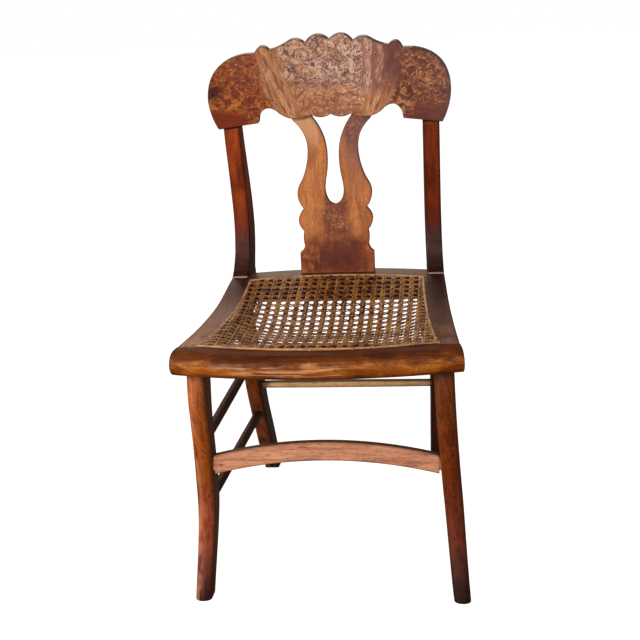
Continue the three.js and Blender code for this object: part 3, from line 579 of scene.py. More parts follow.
def burl_veneer():
    """Burl in the wings and the middle, straight bands between them, plain lower corners."""
    material, place = blank_finish("figured_burl_veneer", 0.38, Coat_Weight=0.06,
                                   Coat_Roughness=0.14, Specular_IOR_Level=0.24)
    curls = figure(place, 12, 2.6)
    fine_curls = figure(place, 6, 2.2)
    mottle = marks(place, 13, 0.42, 0.58, 1, 5, Roughness=0.6, Distortion=2.2)
    patches = marks(place, (34, 26, 26), 0.46, 0.6, 0.8, 5, Distortion=2.4)
    specks = marks(place, 3.2, 0.55, 0.64, 0.9, 4, Distortion=1.6)
    shoulder = overlap(between(place, "X", -170, -122, 10), fade(place, "Z", 758, 782, 14, 0.6))

    def wing(dark, brown, tan, pale, patch, gold):
        """Burl in six colours: curls from dark to pale, then patches, golden clouds and dots."""
        ground = ramped(fine_curls, [(0.36, dark), (0.45, brown), (0.54, tan), (0.64, pale)])
        return coats(ground, [
            (marks(place, 16, 0.46, 0.58, 0.6, 5, Distortion=2.0), brown),
            (patches, patch),
            (marks(place, (26, 26, 20), 0.54, 0.63, 0.8, 5, Distortion=1.6), gold),
            (overlap(shoulder, mottle), "#7c4640"),
            (specks, dark),
        ])

    red_wing = wing("#4e160e", "#8f3f1c", "#b0642e", "#d8964e", "#6a2620", "#cd8238")
    tan_wing = wing("#3c150d", "#80452c", "#b0764c", "#e6b48a", "#5a2622", "#d29c68")
    upper = fade(place, "Z", 765, 800, 18)
    middle = coats(ramped(curls, [
        (0.34, "#76473a"), (0.43, "#9c654c"), (0.53, "#bd8a68"), (0.65, "#dcb294"),
    ]), [
        (overlap(marks(place, (38, 30, 28), 0.44, 0.62, 0.7, 6, Distortion=1.4), upper), "#6e4448"),
        (overlap(marks(place, 14, 0.5, 0.6, 0.8, 5, Distortion=2.2), upper), "#52303a"),
        (overlap(marks(place, (30, 30, 16), 0.4, 0.5, 0.65), fade(place, "Z", 786, 764, 12)), "#c98a5c"),
        (overlap(swirls(place, 34, 6, 0.6, 1, 0.8), fade(place, "X", 4, 44, 14)), "#e8cabc"),
        (overlap(swirls(place, 40, 8, 0.2, 1, 0.85), fade(place, "Z", 776, 760, 12)), "#844428"),
        (overlap(marks(place, (7, 7, 5), 0.52, 0.6, 0.8, 5, Distortion=2.4),
                 fade(place, "Z", 776, 760, 12)), "#8c5236"),
        (overlap(between(place, "Z", 772, 788, 5),
                 marks(place, (5, 5, 7), 0.47, 0.56, 0.9, 4, Distortion=3)), "#5c2a1e"),
        (overlap(specks, patches), "#381812"),
        # Pale threads over the upper middle, partly figure and partly a painted sheen.
        (overlap(swirls(place, 15, 3, 0.72, 1, 0.6), upper), "#ecd0c4"),
        (overlap(marks(place, 4, 0.55, 0.63, 0.6, 4, Distortion=2), upper), "#f0d8cc"),
    ])
    dusky = overlap(between(place, "X", 96, 126, 9, 16), fade(place, "Z", 772, 798, 16),
                    marks(place, (20, 20, 26), 0.34, 0.5, 0.85, 4))
    burnt = overlap(fade(place, "X", -176, -192, 10), between(place, "Z", 764, 788, 5))
    leaned = slanted(place)
    fibres = marks(leaned, (1.6, 1.6, 26), 0.4, 0.6, 1, 3, Distortion=1.0)
    straight = coats(paint("#b27a52"), [
        (marks(leaned, (4, 4, 40), 0.46, 0.6, 0.8, 4, Distortion=1.2), "#8a5038"),
        (overlap(fibres, marks(leaned, (8, 8, 60), 0.4, 0.6, 0.8)), "#dcae86"),
        (marks(leaned, (7, 7, 60), 0.54, 0.66, 0.75, 3, Distortion=0.8), "#74403e"),
        (overlap(fade(place, "X", 20, 60, 8, 0.75), fade(place, "Z", 752, 776)), "#82504c"),
        (overlap(fibres, between(place, "X", 60, 72, 3, 14, 0.75), fade(place, "Z", 752, 768)),
         "#e2c4b4"),
        (overlap(fibres, between(place, "X", 84, 93, 3, 14, 0.7), fade(place, "Z", 770, 790)), "#d8b4a8"),
    ])
    band = between(leaned, "X", -176, -137, 11, 16)
    right_band = overlap(between(place, "X", 56, 100, 5, 12), fade(place, "Z", 748, 764))
    corner = overlap(fade(place, "Z", 752, 730, 10), fade(place, "X", 134, 152, 5, mirror=True))
    ripples = add(place, "TexWave", {
        "Vector": place, "Scale": 0.02 / MM, "Distortion": 9, "Detail": 3, "Detail Scale": 0.8,
    }, wave_type="RINGS", rings_direction="Y").outputs["Fac"]
    hem = overlap(ripples, fade(place, "Z", 752, 738, 6, 0.7))
    colour = coats(middle, [
        (hem, "#8a5336"),
        (fade(place, "X", -78, -112, 22), red_wing),
        (fade(place, "X", 78, 112, 22), tan_wing),
        (band, straight),
        (right_band, straight),
        (overlap(buds(place, 13, 0.15, 0.2, 0.3), mottle), "#d0a078"),
        (buds(place, 13, -0.1, 0.09, 0.3), "#3a1711"),
        (dusky, "#6a3c40"),
        (overlap(burnt, marks(place, 12, 0.3, 0.44, 0.9)), "#45121f"),
        (corner, "#822e16"),
        (overlap(corner, fade(place, "X", 60, 120, 10, 0.7)), "#6a382c"),
        (overlap(corner, marks(place, (24, 20, 3), 0.45, 0.62, 0.5)), "#55200f"),
        (fade(place, "X", 60, 130, 10, 0.5), "#cfaeae", "MULTIPLY"),
        (overlap(by_edge(place, 12, 0.75), fade(place, "X", 120, 150)), "#4a1e1e"),
        (by_edge(place, 2.4, 0.8), "#3a1a15"),
    ])
    return joined(material, Base_Color=colour, Normal=bumped(curls, 0.3, 0.15),
                  Roughness=ranged(mottle, 0, 1, start=0.3, end=0.48))


burl_wood = burl_veneer()


def splat_stain(place):
    """A blotch of burl in the splat's middle, a dark foot, a purple right arm and a paler left one."""
    blotch = overlap(fade(place, "X", 34, 12, 12, mirror=True), fade(place, "Z", 505, 520, 10),
                     fade(place, "Z", 600, 575, 14))
    speckle = marks(place, 4, 0.42, 0.54, 0.9, 5, Distortion=1.6)
    foot = fade(place, "Z", 530, 482, 26)
    arm_top = overlap(fade(place, "X", 14, 30, 8), fade(place, "Z", 640, 690, 14, 0.9))
    pale_arm = overlap(fade(place, "X", -14, -30, 8), fade(place, "Z", 655, 700, 14, 0.6))
    return [
        (marks(place, (26, 26, 40), 0.5, 0.62, 0.5, 4, Distortion=1.2), "#b4682c"),
        (overlap(blotch, speckle), "#592822"),
        (overlap(blotch, marks(place, (12, 12, 16), 0.42, 0.6, 0.75)), "#70382f"),
        (overlap(foot, marks(place, (30, 30, 20), 0.3, 0.5, 0.85)), "#8e3a18"),
        (overlap(foot, fade(place, "X", 66, 30, 16, 0.8, mirror=True)), "#561a0c"),
        (overlap(foot, marks(place, (14, 12, 10), 0.4, 0.68, 0.7, 5)), "#3a120e"),
        (overlap(foot, fade(place, "X", -8, -44, 8), marks(place, (9, 9, 22), 0.44, 0.68, 0.8, 5)),
         "#a8642c"),
        (overlap(fade(place, "X", 12, 30, 8, 0.7), fade(place, "Z", 570, 660)), "#8d5a50"),
        (overlap(arm_top, marks(place, (7, 7, 9), 0.36, 0.54, 0.85, 5, Distortion=1.5)), "#5c3440"),
        (pale_arm, "#dcae8a"),
        (by_edge(place, 7, 0.4), "#a04a1e"),
        (by_edge(place, 1.6, 0.7), "#5a2c18"),
    ]


splat_wood = plank("tan_splat_walnut", "Z", even("#d98e50"), splat_stain, grain=0.75, gloss=0.42)

# %% [markdown]
# ## Side rails
# Each side rail is a plank on edge, dished on top so that the sitter's thighs rest level, with
# a lip inside that carries the cane. It is a rounded rectangle carried from front to back, whose
# top follows the dish.

# %% Side rails
CANE_FRONT_HALF = SEAT_HALF_WIDTH - 32
CANE_REAR_HALF = SEAT_HALF_WIDTH - 63
CANE_SIDE_BOW = 3.3
CANE_FRONT_BOW = 24
CANE_CORNER_Y = FRONT_SEAM_Y + 3
CANE_REAR_BOW = 15
CANE_REAR_Y = 115
LIP_WIDTH = 15
RAIL_EASE = 2.2
SEAM_EASE = 0.4
LIP_END = 0.05


def cane_half(y):
    """Half-width of the caned panel: a straight taper, drawn in a little midway."""
    t = np.clip((y - CANE_CORNER_Y) / (CANE_REAR_Y - CANE_CORNER_Y), 0, 1)
    return CANE_FRONT_HALF + (CANE_REAR_HALF - CANE_FRONT_HALF) * t - 4 * CANE_SIDE_BOW * t * (1 - t)


def side_rail():
    """Rounded rectangles along the rail: from the lip to the outer face, and up to the dish."""
    y = np.concatenate([
        np.linspace(FRONT_SEAM_Y + GAP, REAR_OPENING_Y - LIP_END, 70),
        np.linspace(REAR_OPENING_Y, SIDE_RAIL_REAR_Y, 30),
    ])
    inner = np.where(y < REAR_OPENING_Y, cane_half(y) - LIP_WIDTH, outer_x(y) - PLANK)
    x, z, away = eased_box(inner, outer_x(y), LEG_HEIGHT + GAP, seat_top(y), RAIL_EASE)
    return softened(placed(x, y[:, None], z), SEAM_EASE), repeat_ends(away)


rail_rings, rail_edge = side_rail()
for side, rings in both_sides(rail_rings):
    rail = skins(f"{side}_rail_board", [rings], rail_wood, [rail_edge])
    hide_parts(f"{side}_side_rail")

# %% [markdown]
# ## Front and rear rails
# The front rail ends in a bullnose, a half round, and bows out towards the sitter's knees. Its
# section is carried across the chair while its nose follows a parabola. The rear rail is a
# rounded rectangle whose back is bowed in the same way and whose top continues the dish.

# %% Front and rear rails
NOSE_RADIUS = 20
NOSE_REACH = 55
NOSE_BOW = 24
RAIL_FLARE = 7
REAR_RAIL_DEPTH = 61
REAR_RAIL_BOW = 17
REAR_RAIL_HEIGHT = 34
NOSE_END_EASE = 1.5


def front_rail():
    """The bullnose section from seam to seam, carried across the chair."""
    t = np.sin(np.linspace(-math.pi / 2, math.pi / 2, 81))[:, None]
    nose_y = FRONT_SEAM_Y - NOSE_REACH + NOSE_BOW * t ** 2 + NOSE_RADIUS
    turn = np.linspace(math.pi / 2, 3 * math.pi / 2, 25)
    centre_z = SEAT_HEIGHT - NOSE_RADIUS
    flat = np.linspace(0, 1, 9)[:-1]
    top_y = FRONT_SEAM_Y + (nose_y - FRONT_SEAM_Y) * flat
    nose = nose_y + NOSE_RADIUS * np.cos(turn)
    foot_y = nose_y + (FRONT_SEAM_Y - nose_y) * (1 - flat[::-1])
    y = np.concatenate([top_y, nose, foot_y], axis=1)
    z = np.concatenate([
        np.full(flat.size, SEAT_HEIGHT),
        centre_z + NOSE_RADIUS * np.sin(turn),
        np.full(flat.size, centre_z - NOSE_RADIUS),
    ])
    x = t * (SEAT_HALF_WIDTH + RAIL_FLARE * (FRONT_SEAM_Y - y) / (NOSE_REACH - NOSE_BOW))
    return placed(x, y, z)


nose_rings = softened(front_rail(), NOSE_END_EASE)
front_board = skins("front_rail_board", [nose_rings], nose_wood)
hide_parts("front_rail")


def rear_rail():
    """Rounded rectangles across the chair, bowed behind, whose tops follow the dish."""
    t = np.linspace(-1, 1, 61)
    back = REAR_OPENING_Y + REAR_RAIL_DEPTH + REAR_RAIL_BOW * (1 - t ** 2)
    near = REAR_OPENING_Y + GAP
    y, z, away = eased_box(near, back, REAR_TOP_Z - REAR_RAIL_HEIGHT, REAR_TOP_Z, RAIL_EASE)
    share = (z - z.min()) / (z.max() - z.min())
    x = t[:, None] * (outer_x(y) - PLANK - GAP)
    return placed(x, y, z + share * (seat_top(y) - REAR_TOP_Z)), away


rear_rings, rear_edge = rear_rail()
rear_board = skins("rear_rail_board", [softened(rear_rings, SEAM_EASE)], rear_rail_wood,
                   [repeat_ends(rear_edge)])
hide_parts("rear_rail")

# %% [markdown]
# ## Shaped boards
# The crest rail and the splat were cut with a bow saw to a template and then eased at the
# edges. An outline here is a short table of points with the bulge of the arc to the next one,
# and the rim's rows are the outline moved inwards along its own normals.

# %% Boards from outlines
ARC_STEPS = 14
FACE_ROWS = 12
ROWS_TO_RIM = 1.6
OUTLINE_STEP = 4


def arc_path(shares, across, height, base):
    """Straight chords between the table's points, each raised by a parabola of its bulge."""
    shares = np.asarray(shares, float)
    corners = shares[:, :2] * [across, height] + [0, base]
    chord = np.diff(corners, axis=0)
    left = np.column_stack([-chord[:, 1], chord[:, 0]])
    t = np.linspace(0, 1, ARC_STEPS, endpoint=False)[:, None]
    rise = 4 * shares[:-1, 2, None, None] * t * (1 - t)
    path = corners[:-1, None] + chord[:, None] * t + left[:, None] * rise
    return np.vstack([path.reshape(-1, 2), corners[-1]])


def board_rows(loop, spine, near, far, near_ease, far_ease):
    """Rows from a board's spine to its rim and back: outline places, depths and ways to the edge."""
    ahead = unit(np.roll(loop, -1, 0) - np.roll(loop, 1, 0))
    inward = np.column_stack([ahead[:, 1], -ahead[:, 0]])
    area = np.sum(loop[:, 0] * np.roll(loop[:, 1], -1) - np.roll(loop[:, 0], -1) * loop[:, 1])
    if area > 0:
        inward = -inward
    share = 1 - (1 - np.linspace(0, 1, FACE_ROWS)[:, None, None]) ** ROWS_TO_RIM
    turn = np.linspace(0, math.pi / 2, 5)[1:]
    flat, depth = [], []
    for ease, level, outwards in ((near_ease, near, 1), (far_ease, far, -1)):
        rim = loop + inward * ease
        rows = [spine + (rim - spine) * share]
        rows.append(loop + inward * ease * (1 - np.sin(turn))[:, None, None])
        deep = [np.full(FACE_ROWS, level), level + outwards * ease * (1 - np.cos(turn))]
        flat.append(np.concatenate(rows)[::outwards])
        depth.append(np.concatenate(deep)[::outwards])
    flat, depth = np.concatenate(flat), np.concatenate(depth)
    return flat, depth, np.linalg.norm(flat - loop, axis=-1)


def board(name, loop, spine, layer, place, finish):
    """A board of one layer: place() turns outline places and depths into points in space."""
    flat, depth, away = board_rows(loop, spine, *layer)
    points = place(flat[..., 0], flat[..., 1], depth[:, None])
    faces = ring_quads(np.arange(away.size).reshape(away.shape))
    return piece(name, points.reshape(-1, 3), faces, finish, {"edge": away.ravel()}, True)


def both_halves(right_half):
    """A loop from its right half, which runs from the centre line round to the centre line."""
    left_half = right_half[1:-1][::-1] * [-1, 1]
    return np.vstack([right_half, left_half])


# %% [markdown]
# ## The crest rail
# The crest is one board, bent hollow towards the sitter, with a scalloped top, a knob over each
# shoulder and a skin of burl veneer about a millimetre thick. The veneer and the board beneath
# are two pieces, because their finishes differ at the rim.

# %% Crest rail
CREST_HALF = SEAT_HALF_WIDTH - 10
CREST_BOTTOM_Z = 713
CREST_HEIGHT = 146.5
CREST_THICKNESS = 21
CREST_RADIUS = 685
CREST_CENTRE_Y = 172.2
CREST_LEAN = 0.167
CREST_SPINE_Z = 785
CREST_POLE_X = 132
VENEER = 1
VENEER_EASE = 0.6
GLUE_LINE = 0.05
GLUED_EASE = 0.1
CREST_BACK_EASE = 2
CREST_TOP_SHARES = [
    [0, 0.945, 0.26], [0.201, 0.917, 0.19], [0.349, 0.938, -0.03], [0.459, 0.871, 0],
    [0.493, 0.863, 0.36], [0.612, 0.833, 0], [0.699, 0.833, 0],
]
CREST_SHOULDER_SHARES = [
    [0.699, 0.833, 0.225], [1, 0.341, 0.055], [0.926, 0, 0], [0.699, 0.024, 0],
]
CREST_FOOT_SHARES = [
    [0.699, 0.024, 0], [0.605, 0.034, 0], [0.598, 0.109, -0.3], [0.45, 0.157, 0.08],
    [0.318, 0.058, 0.075], [0.163, 0.092, 0.14], [0, 0.096, 0],
]


def crest_face(x, z):
    """The crest's front face: a cylinder, hollow to the front, that leans back."""
    bend = CREST_RADIUS - np.sqrt(CREST_RADIUS ** 2 - x ** 2)
    return CREST_CENTRE_Y + (z - CREST_BOTTOM_Z) * CREST_LEAN - bend


def crest_outline():
    """The crest's outline and its spine, with the points above and below one another in pairs."""
    sizes = (CREST_HALF, CREST_HEIGHT, CREST_BOTTOM_Z)
    top = arc_path(CREST_TOP_SHARES, *sizes)
    shoulder = arc_path(CREST_SHOULDER_SHARES, *sizes)
    foot = arc_path(CREST_FOOT_SHARES, *sizes)[::-1]
    reach = top[-1, 0]
    x = np.unique(np.concatenate([top[:, 0], foot[:, 0], np.arange(0, reach, OUTLINE_STEP)]).round(2))
    above = np.column_stack([x, np.interp(x, top[:, 0], top[:, 1])])
    below = np.column_stack([x, np.interp(x, foot[:, 0], foot[:, 1])])
    spine = np.column_stack([x * CREST_POLE_X / reach, np.full(x.size, CREST_SPINE_Z)])
    fan = np.tile([CREST_POLE_X, CREST_SPINE_Z], (len(shoulder) - 2, 1))
    loop = np.vstack([above, shoulder[1:-1], below[::-1]])
    return both_halves(loop), both_halves(np.vstack([spine, fan, spine[::-1]]))


def on_crest(x, z, depth):
    """Bends outline places onto the crest's face, and sets them back by their depth."""
    return placed(x, crest_face(x, z) + depth, z)


crest_loop, crest_spine = crest_outline()
core_layer = (VENEER + GLUE_LINE, CREST_THICKNESS, GLUED_EASE, CREST_BACK_EASE)
crest_board = board("crest_board", crest_loop, crest_spine, core_layer, on_crest, crest_wood)
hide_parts("crest_rail")
skin_layer = (0, VENEER, VENEER_EASE, GLUED_EASE)
crest_skin = board("crest_burl_skin", crest_loop, crest_spine, skin_layer, on_crest, burl_wood)
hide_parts("crest_veneer")
print("crest outline points:", len(crest_loop))

# %% [markdown]
# ## The lyre splat
# The splat is a board that opens as a U towards the crest. Its spine is a trunk on the centre
# line that forks into the two arms, so that the rows of points run from the spine to the outer
# edge on one side and to the slot on the other.

# %% Lyre splat
SPLAT_HALF = 66.5
SPLAT_THICKNESS = 12
SPLAT_FOOT_Y = 144.7
SPLAT_LEAN = 0.1225
SPLAT_TOP_Z = 728
FORK_Z = 585
TRUNK_FOOT_Z = 468
ARM_POLE_Z = 716
SPLAT_BACK_EASE = 1.5
FOOT_POINTS, FORK_POINTS, TOP_POINTS = 13, 14, 10
SPLAT_EDGE_SHARES = [
    [1, 0, 0], [1, 0.13, 0.12], [0.865, 0.18, -0.06], [0.865, 0.27, -0.24],
    [0.842, 0.412, -0.19], [0.865, 0.591, 0.05], [0.669, 0.77, 0.12], [1.02, 0.961, 0],
    [1.12, 1.005, 0],
]
SPLAT_SLOT_SHARES = [
    [0.65, 1.03, 0], [0.51, 0.978, -0.08], [0.159, 0.768, -0.031], [0.195, 0.618, 0.02],
    [0.248, 0.536, 0.064], [0.175, 0.464, 0.134], [0, 0.4345, 0],
]


def at_heights(path, z):
    """A path's points at given heights, where the path rises all the way."""
    return np.column_stack([np.interp(z, path[:, 1], path[:, 0]), z])


def splat_outline():
    """The splat's outline and its forked spine, from the foot round the right arm to the slot."""
    foot_z = REAR_TOP_Z + GAP
    height = CREST_BOTTOM_Z + CREST_HEIGHT * CREST_FOOT_SHARES[-1][1] - REAR_TOP_Z
    edge = arc_path(SPLAT_EDGE_SHARES, SPLAT_HALF, height, foot_z)
    slot = arc_path(SPLAT_SLOT_SHARES, SPLAT_HALF, height, foot_z)[::-1]
    cusp_z = foot_z + SPLAT_EDGE_SHARES[4][1] * height
    low = np.union1d(edge[:, 1][edge[:, 1] < cusp_z],
                     np.arange(foot_z + OUTLINE_STEP, cusp_z - 1, OUTLINE_STEP))
    fork = np.linspace(0, 1, FORK_POINTS)
    arm_z = np.union1d(np.arange(FORK_Z, SPLAT_TOP_Z, OUTLINE_STEP), [SPLAT_TOP_Z])
    arm_out, arm_in = at_heights(edge, arm_z), at_heights(slot, arm_z)
    middle = (arm_out + arm_in) / 2
    middle[:, 1] = FORK_Z + (arm_z - FORK_Z) * (ARM_POLE_Z - FORK_Z) / (SPLAT_TOP_Z - FORK_Z)
    foot_x = np.linspace(0, SPLAT_HALF, FOOT_POINTS, endpoint=False)
    foot = np.column_stack([foot_x, np.full(FOOT_POINTS, foot_z)])
    trunk = np.column_stack([np.zeros(low.size), TRUNK_FOOT_Z
                             + (low - foot_z) * (cusp_z - TRUNK_FOOT_Z) / (cusp_z - foot_z)])
    branch = np.array([0, cusp_z]) + fork[:, None] * (middle[0] - [0, cusp_z])
    top_share = np.linspace(0, 1, TOP_POINTS + 2)[1:-1, None]
    top = arm_out[-1] + (arm_in[-1] - arm_out[-1]) * top_share
    fork_out = at_heights(edge, cusp_z + (FORK_Z - cusp_z) * fork)
    fork_in = at_heights(slot, slot[0, 1] + (FORK_Z - slot[0, 1]) * fork ** 2)
    loop = np.vstack([foot, at_heights(edge, low), fork_out[:-1], arm_out, top, arm_in[::-1],
                      fork_in[:-1][::-1]])
    spine = np.vstack([np.tile([0, TRUNK_FOOT_Z], (FOOT_POINTS, 1)), trunk, branch[:-1], middle,
                       np.tile(middle[-1], (TOP_POINTS, 1)), middle[::-1], branch[:-1][::-1]])
    return both_halves(loop), both_halves(spine)


def on_splat(x, z, depth):
    """Leans outline places back from the splat's foot, and sets them back by their depth."""
    return placed(x, SPLAT_FOOT_Y + (z - REAR_TOP_Z) * SPLAT_LEAN + depth, z)


splat_loop, splat_spine = splat_outline()
core_layer = (VENEER + GLUE_LINE, SPLAT_THICKNESS, GLUED_EASE, SPLAT_BACK_EASE)
splat_board = board("lyre_board", splat_loop, splat_spine, core_layer, on_splat, splat_wood)
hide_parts("lyre_splat")
splat_skin = board("lyre_skin", splat_loop, splat_spine, skin_layer, on_splat, splat_wood)
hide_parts("splat_veneer")
print("splat outline points:", len(splat_loop))

# %% [markdown]
# ## Back posts
# Each post is sawn from the same plank as its rail and leg. Its front edge sweeps forward at the
# foot onto the rail, and its top laps behind the crest. The sections are rounded rectangles
# between a point on its front edge and the matching point on its back edge.

# %% Back posts
POST_FRONT_Y = 171.5
POST_BACK_Y = 210
POST_LAP = 62
POST_EASE = 2.5
RINGS_TO_TOE = 1.8
POST_SHARES = np.array([
    [0, 2.12, 0.94], [0.004, 2.04, 0.93], [0.02, 1.72, 0.86], [0.06, 1.24, 0.7], [0.13, 0.64, 0.38],
    [0.205, 0.33, 0.14], [0.28, 0.12, 0], [0.355, 0.02, 0], [0.43, 0.02, 0.05],
    [0.58, 0.17, 0.33], [0.73, 0.36, 0.71], [0.88, 0.6, 1.1], [1, 0.72, 1.35],
])


def back_post():
    """Rounded rectangles up the post and on behind the crest, between its front and back edges."""
    up = np.linspace(0, 1, 90) ** RINGS_TO_TOE
    height = CREST_BOTTOM_Z - GAP - REAR_TOP_Z
    stations, fronts, backs = POST_SHARES.T
    ahead = CREST_THICKNESS * flowing(up, stations, fronts)
    behind = CREST_THICKNESS * flowing(up, stations, backs)
    lap_z = np.linspace(CREST_BOTTOM_Z - GAP, CREST_BOTTOM_Z + POST_LAP, 12)
    lap_back = POST_BACK_Y - behind[-1] + (lap_z - lap_z[0]) * CREST_LEAN
    lap_x = outer_x(POST_FRONT_Y) - PLANK / 2
    lap_front = crest_face(lap_x, lap_z) + CREST_THICKNESS + GAP
    front = np.concatenate([POST_FRONT_Y - ahead, lap_front])
    back = np.concatenate([POST_BACK_Y - behind, lap_back])
    z = np.concatenate([REAR_TOP_Z + up * height, lap_z])
    inset, y, away = eased_box(0, PLANK, front, back, POST_EASE)
    lift = np.clip(1 - (z - REAR_TOP_Z) / (3 * POST_EASE), 0, 1)[:, None]
    z = z[:, None] + lift * (seat_top(y) + GAP - REAR_TOP_Z)
    return placed(outer_x(y) - inset, y, z), away


post_rings, post_edge = back_post()
post_rings, post_edge = softened(post_rings, SEAM_EASE), repeat_ends(post_edge)
for side, rings in both_sides(post_rings):
    post = skins(f"{side}_post_plank", [rings], post_wood, [post_edge])
    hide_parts(f"{side}_back_post")

# %% [markdown]
# ## Legs
# The front legs are of sabre form with a rounded front, and they splay outwards. The rear legs
# are sawn planks that rake back. Both are sections carried up from the floor.

# %% Front legs
FRONT_LEG_TOP_X = SEAT_HALF_WIDTH - 25.7
FRONT_LEG_FOOT_X = SEAT_HALF_WIDTH - 4.5
FRONT_LEG_BOW = 3.2
FRONT_LEG_WIDTH = 30.5
FRONT_LEG_FOOT_WIDTH = 27.5
FRONT_LEG_FLARE_SHARE = 0.4
FRONT_LEG_WAIST_Y = -186
FRONT_LEG_SWEEP = 44
FRONT_LEG_DEPTH = 39
FOOT_EASE = 2.5
FRONT_LEG_SHARES = np.array([
    [0, 1, 0.72], [0.074, 0.76, 0.7], [0.148, 0.5, 0.69], [0.222, 0.26, 0.71], [0.296, 0.08, 0.76],
    [0.37, 0, 0.82], [0.444, 0.057, 0.88], [0.519, 0.148, 0.88], [0.593, 0.227, 0.84],
    [0.667, 0.307, 0.79], [0.74, 0.41, 0.77], [0.79, 0.489, 0.8], [0.84, 0.58, 0.88],
    [0.889, 0.636, 0.97], [0.938, 0.614, 1], [1, 0.5, 0.95],
])
FRONT_ROUND_SHARE = 0.28


def front_leg_axis(z):
    """The front leg's middle across, front edge and depth at a height."""
    up = z / LEG_HEIGHT
    stations, sweeps, depths = FRONT_LEG_SHARES.T
    splay = (FRONT_LEG_TOP_X - FRONT_LEG_FOOT_X) * up
    x = FRONT_LEG_FOOT_X + splay - 4 * FRONT_LEG_BOW * up * (1 - up)
    front = FRONT_LEG_WAIST_Y - FRONT_LEG_SWEEP * flowing(up, stations, sweeps)
    return x, front, FRONT_LEG_DEPTH * flowing(up, stations, depths)


def front_leg():
    """Sections with a half-elliptical front and eased back corners, carried up from the floor."""
    z = np.linspace(0, LEG_HEIGHT, 90)
    x, front, depth = (v[:, None] for v in front_leg_axis(z))
    flare = np.minimum(z / (LEG_HEIGHT * FRONT_LEG_FLARE_SHARE), 1)
    half = (FRONT_LEG_FOOT_WIDTH + (FRONT_LEG_WIDTH - FRONT_LEG_FOOT_WIDTH) * flare)[:, None] / 2
    turn = np.linspace(-math.pi / 2, math.pi / 2, 25)
    nose_u = half * np.sin(turn)
    nose_v = FRONT_ROUND_SHARE * depth * (1 - np.cos(turn))
    corner = np.linspace(0, math.pi / 2, 5)
    back_u = np.concatenate([half - FOOT_EASE * (1 - np.cos(corner)),
                             -half + FOOT_EASE * (1 - np.cos(corner[::-1]))], axis=1)
    back_v = depth - FOOT_EASE * (1 - np.sin(np.concatenate([corner, corner[::-1]])))
    u = np.concatenate([nose_u, back_u], axis=1)
    v = np.concatenate([nose_v, back_v], axis=1)
    shear = SIDE_TAPER * (v - depth / 2)
    return placed(x + u - shear, front + v, z[:, None])


leg_rings = softened(front_leg(), FOOT_EASE)
for side, rings in both_sides(leg_rings):
    leg = skins(f"{side}_sabre_leg", [rings], leg_wood)
    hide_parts(f"{side}_front_leg")

# %% Rear legs
REAR_LEG_TOP_Y = 101
REAR_LEG_SWEEP = 138
REAR_LEG_DEPTH = 46
REAR_LEG_EASE = 3.5
REAR_FOOT_EASE = 1.5
REAR_LEG_SHARES = np.array([
    [0, 1, 0.833], [0.05, 0.935, 0.804], [0.123, 0.826, 0.743], [0.198, 0.732, 0.667],
    [0.272, 0.645, 0.587], [0.346, 0.558, 0.5], [0.42, 0.475, 0.42], [0.494, 0.399, 0.362],
    [0.6, 0.314, 0.283], [0.7, 0.234, 0.206], [0.8, 0.16, 0.13], [0.9, 0.083, 0.065], [1, 0, 0],
])


def rear_leg_edges(z):
    """The rear leg's front and back edges at a height."""
    up = z / LEG_HEIGHT
    stations, fronts, backs = REAR_LEG_SHARES.T
    front = REAR_LEG_TOP_Y + REAR_LEG_SWEEP * flowing(up, stations, fronts)
    return front, REAR_LEG_TOP_Y + REAR_LEG_DEPTH + REAR_LEG_SWEEP * flowing(up, stations, backs)


def rear_leg():
    """Rounded rectangles in the plane of the side, carried up from the floor."""
    z = np.linspace(0, LEG_HEIGHT, 80)
    front, back = rear_leg_edges(z)
    inset, y, away = eased_box(0, PLANK, front, back, REAR_LEG_EASE)
    return placed(outer_x(y) - inset, y, z[:, None]), away


rake_rings, rake_edge = rear_leg()
rake_rings, rake_edge = softened(rake_rings, REAR_FOOT_EASE), repeat_ends(rake_edge)
for side, rings in both_sides(rake_rings):
    leg = skins(f"{side}_raked_leg", [rings], rear_leg_wood, [rake_edge])
    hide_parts(f"{side}_rear_leg")

# %% [markdown]
# ## Stretchers
# The round rungs were turned or drawn through a hole, and are a touch fuller midway. Each is a
# circle carried along a straight line, with a thinner tenon at either end inside the leg. The
# front stretcher is a thin board whose edges are both the same arch.

# %% Round rungs
RUNG_RADIUS = 8.4
REAR_RUNG_RADIUS = 7.6
TENON_RADIUS = 5
TENON_LENGTH = 11
UPPER_RUNG_Z, LOWER_RUNG_Z, REAR_RUNG_Z = 273.5, 153.5, 215.2
FRONT_SHOULDER, REAR_SHOULDER = 2, 4
RUNG_SIDES = 36
RUNG_END_SHARE = 0.94


def rung(begin, end, radius, begin_shoulder, end_shoulder):
    """Circles along a line: a tenon, an eased shoulder, a shaft that swells a little, and back."""
    begin, end = np.asarray(begin, float), np.asarray(end, float)
    length = np.linalg.norm(end - begin)
    axis = unit(end - begin)
    across = unit(np.cross(UP, axis))
    third = np.cross(axis, across)
    t = np.linspace(0, 1, 40)
    shaft = begin_shoulder + t * (length - end_shoulder - begin_shoulder)
    swell = radius * (RUNG_END_SHARE + (1 - RUNG_END_SHARE) * np.sin(math.pi * t))
    place = np.concatenate([
        [shaft[0] - TENON_LENGTH, shaft[0]], shaft, [shaft[-1], shaft[-1] + TENON_LENGTH],
    ])
    size = np.concatenate([[TENON_RADIUS] * 2, swell, [TENON_RADIUS] * 2])
    turn = np.linspace(0, 2 * math.pi, RUNG_SIDES, endpoint=False)
    spoke = np.cos(turn)[:, None] * across + np.sin(turn)[:, None] * third
    return begin + place[:, None, None] * axis + size[:, None, None] * spoke


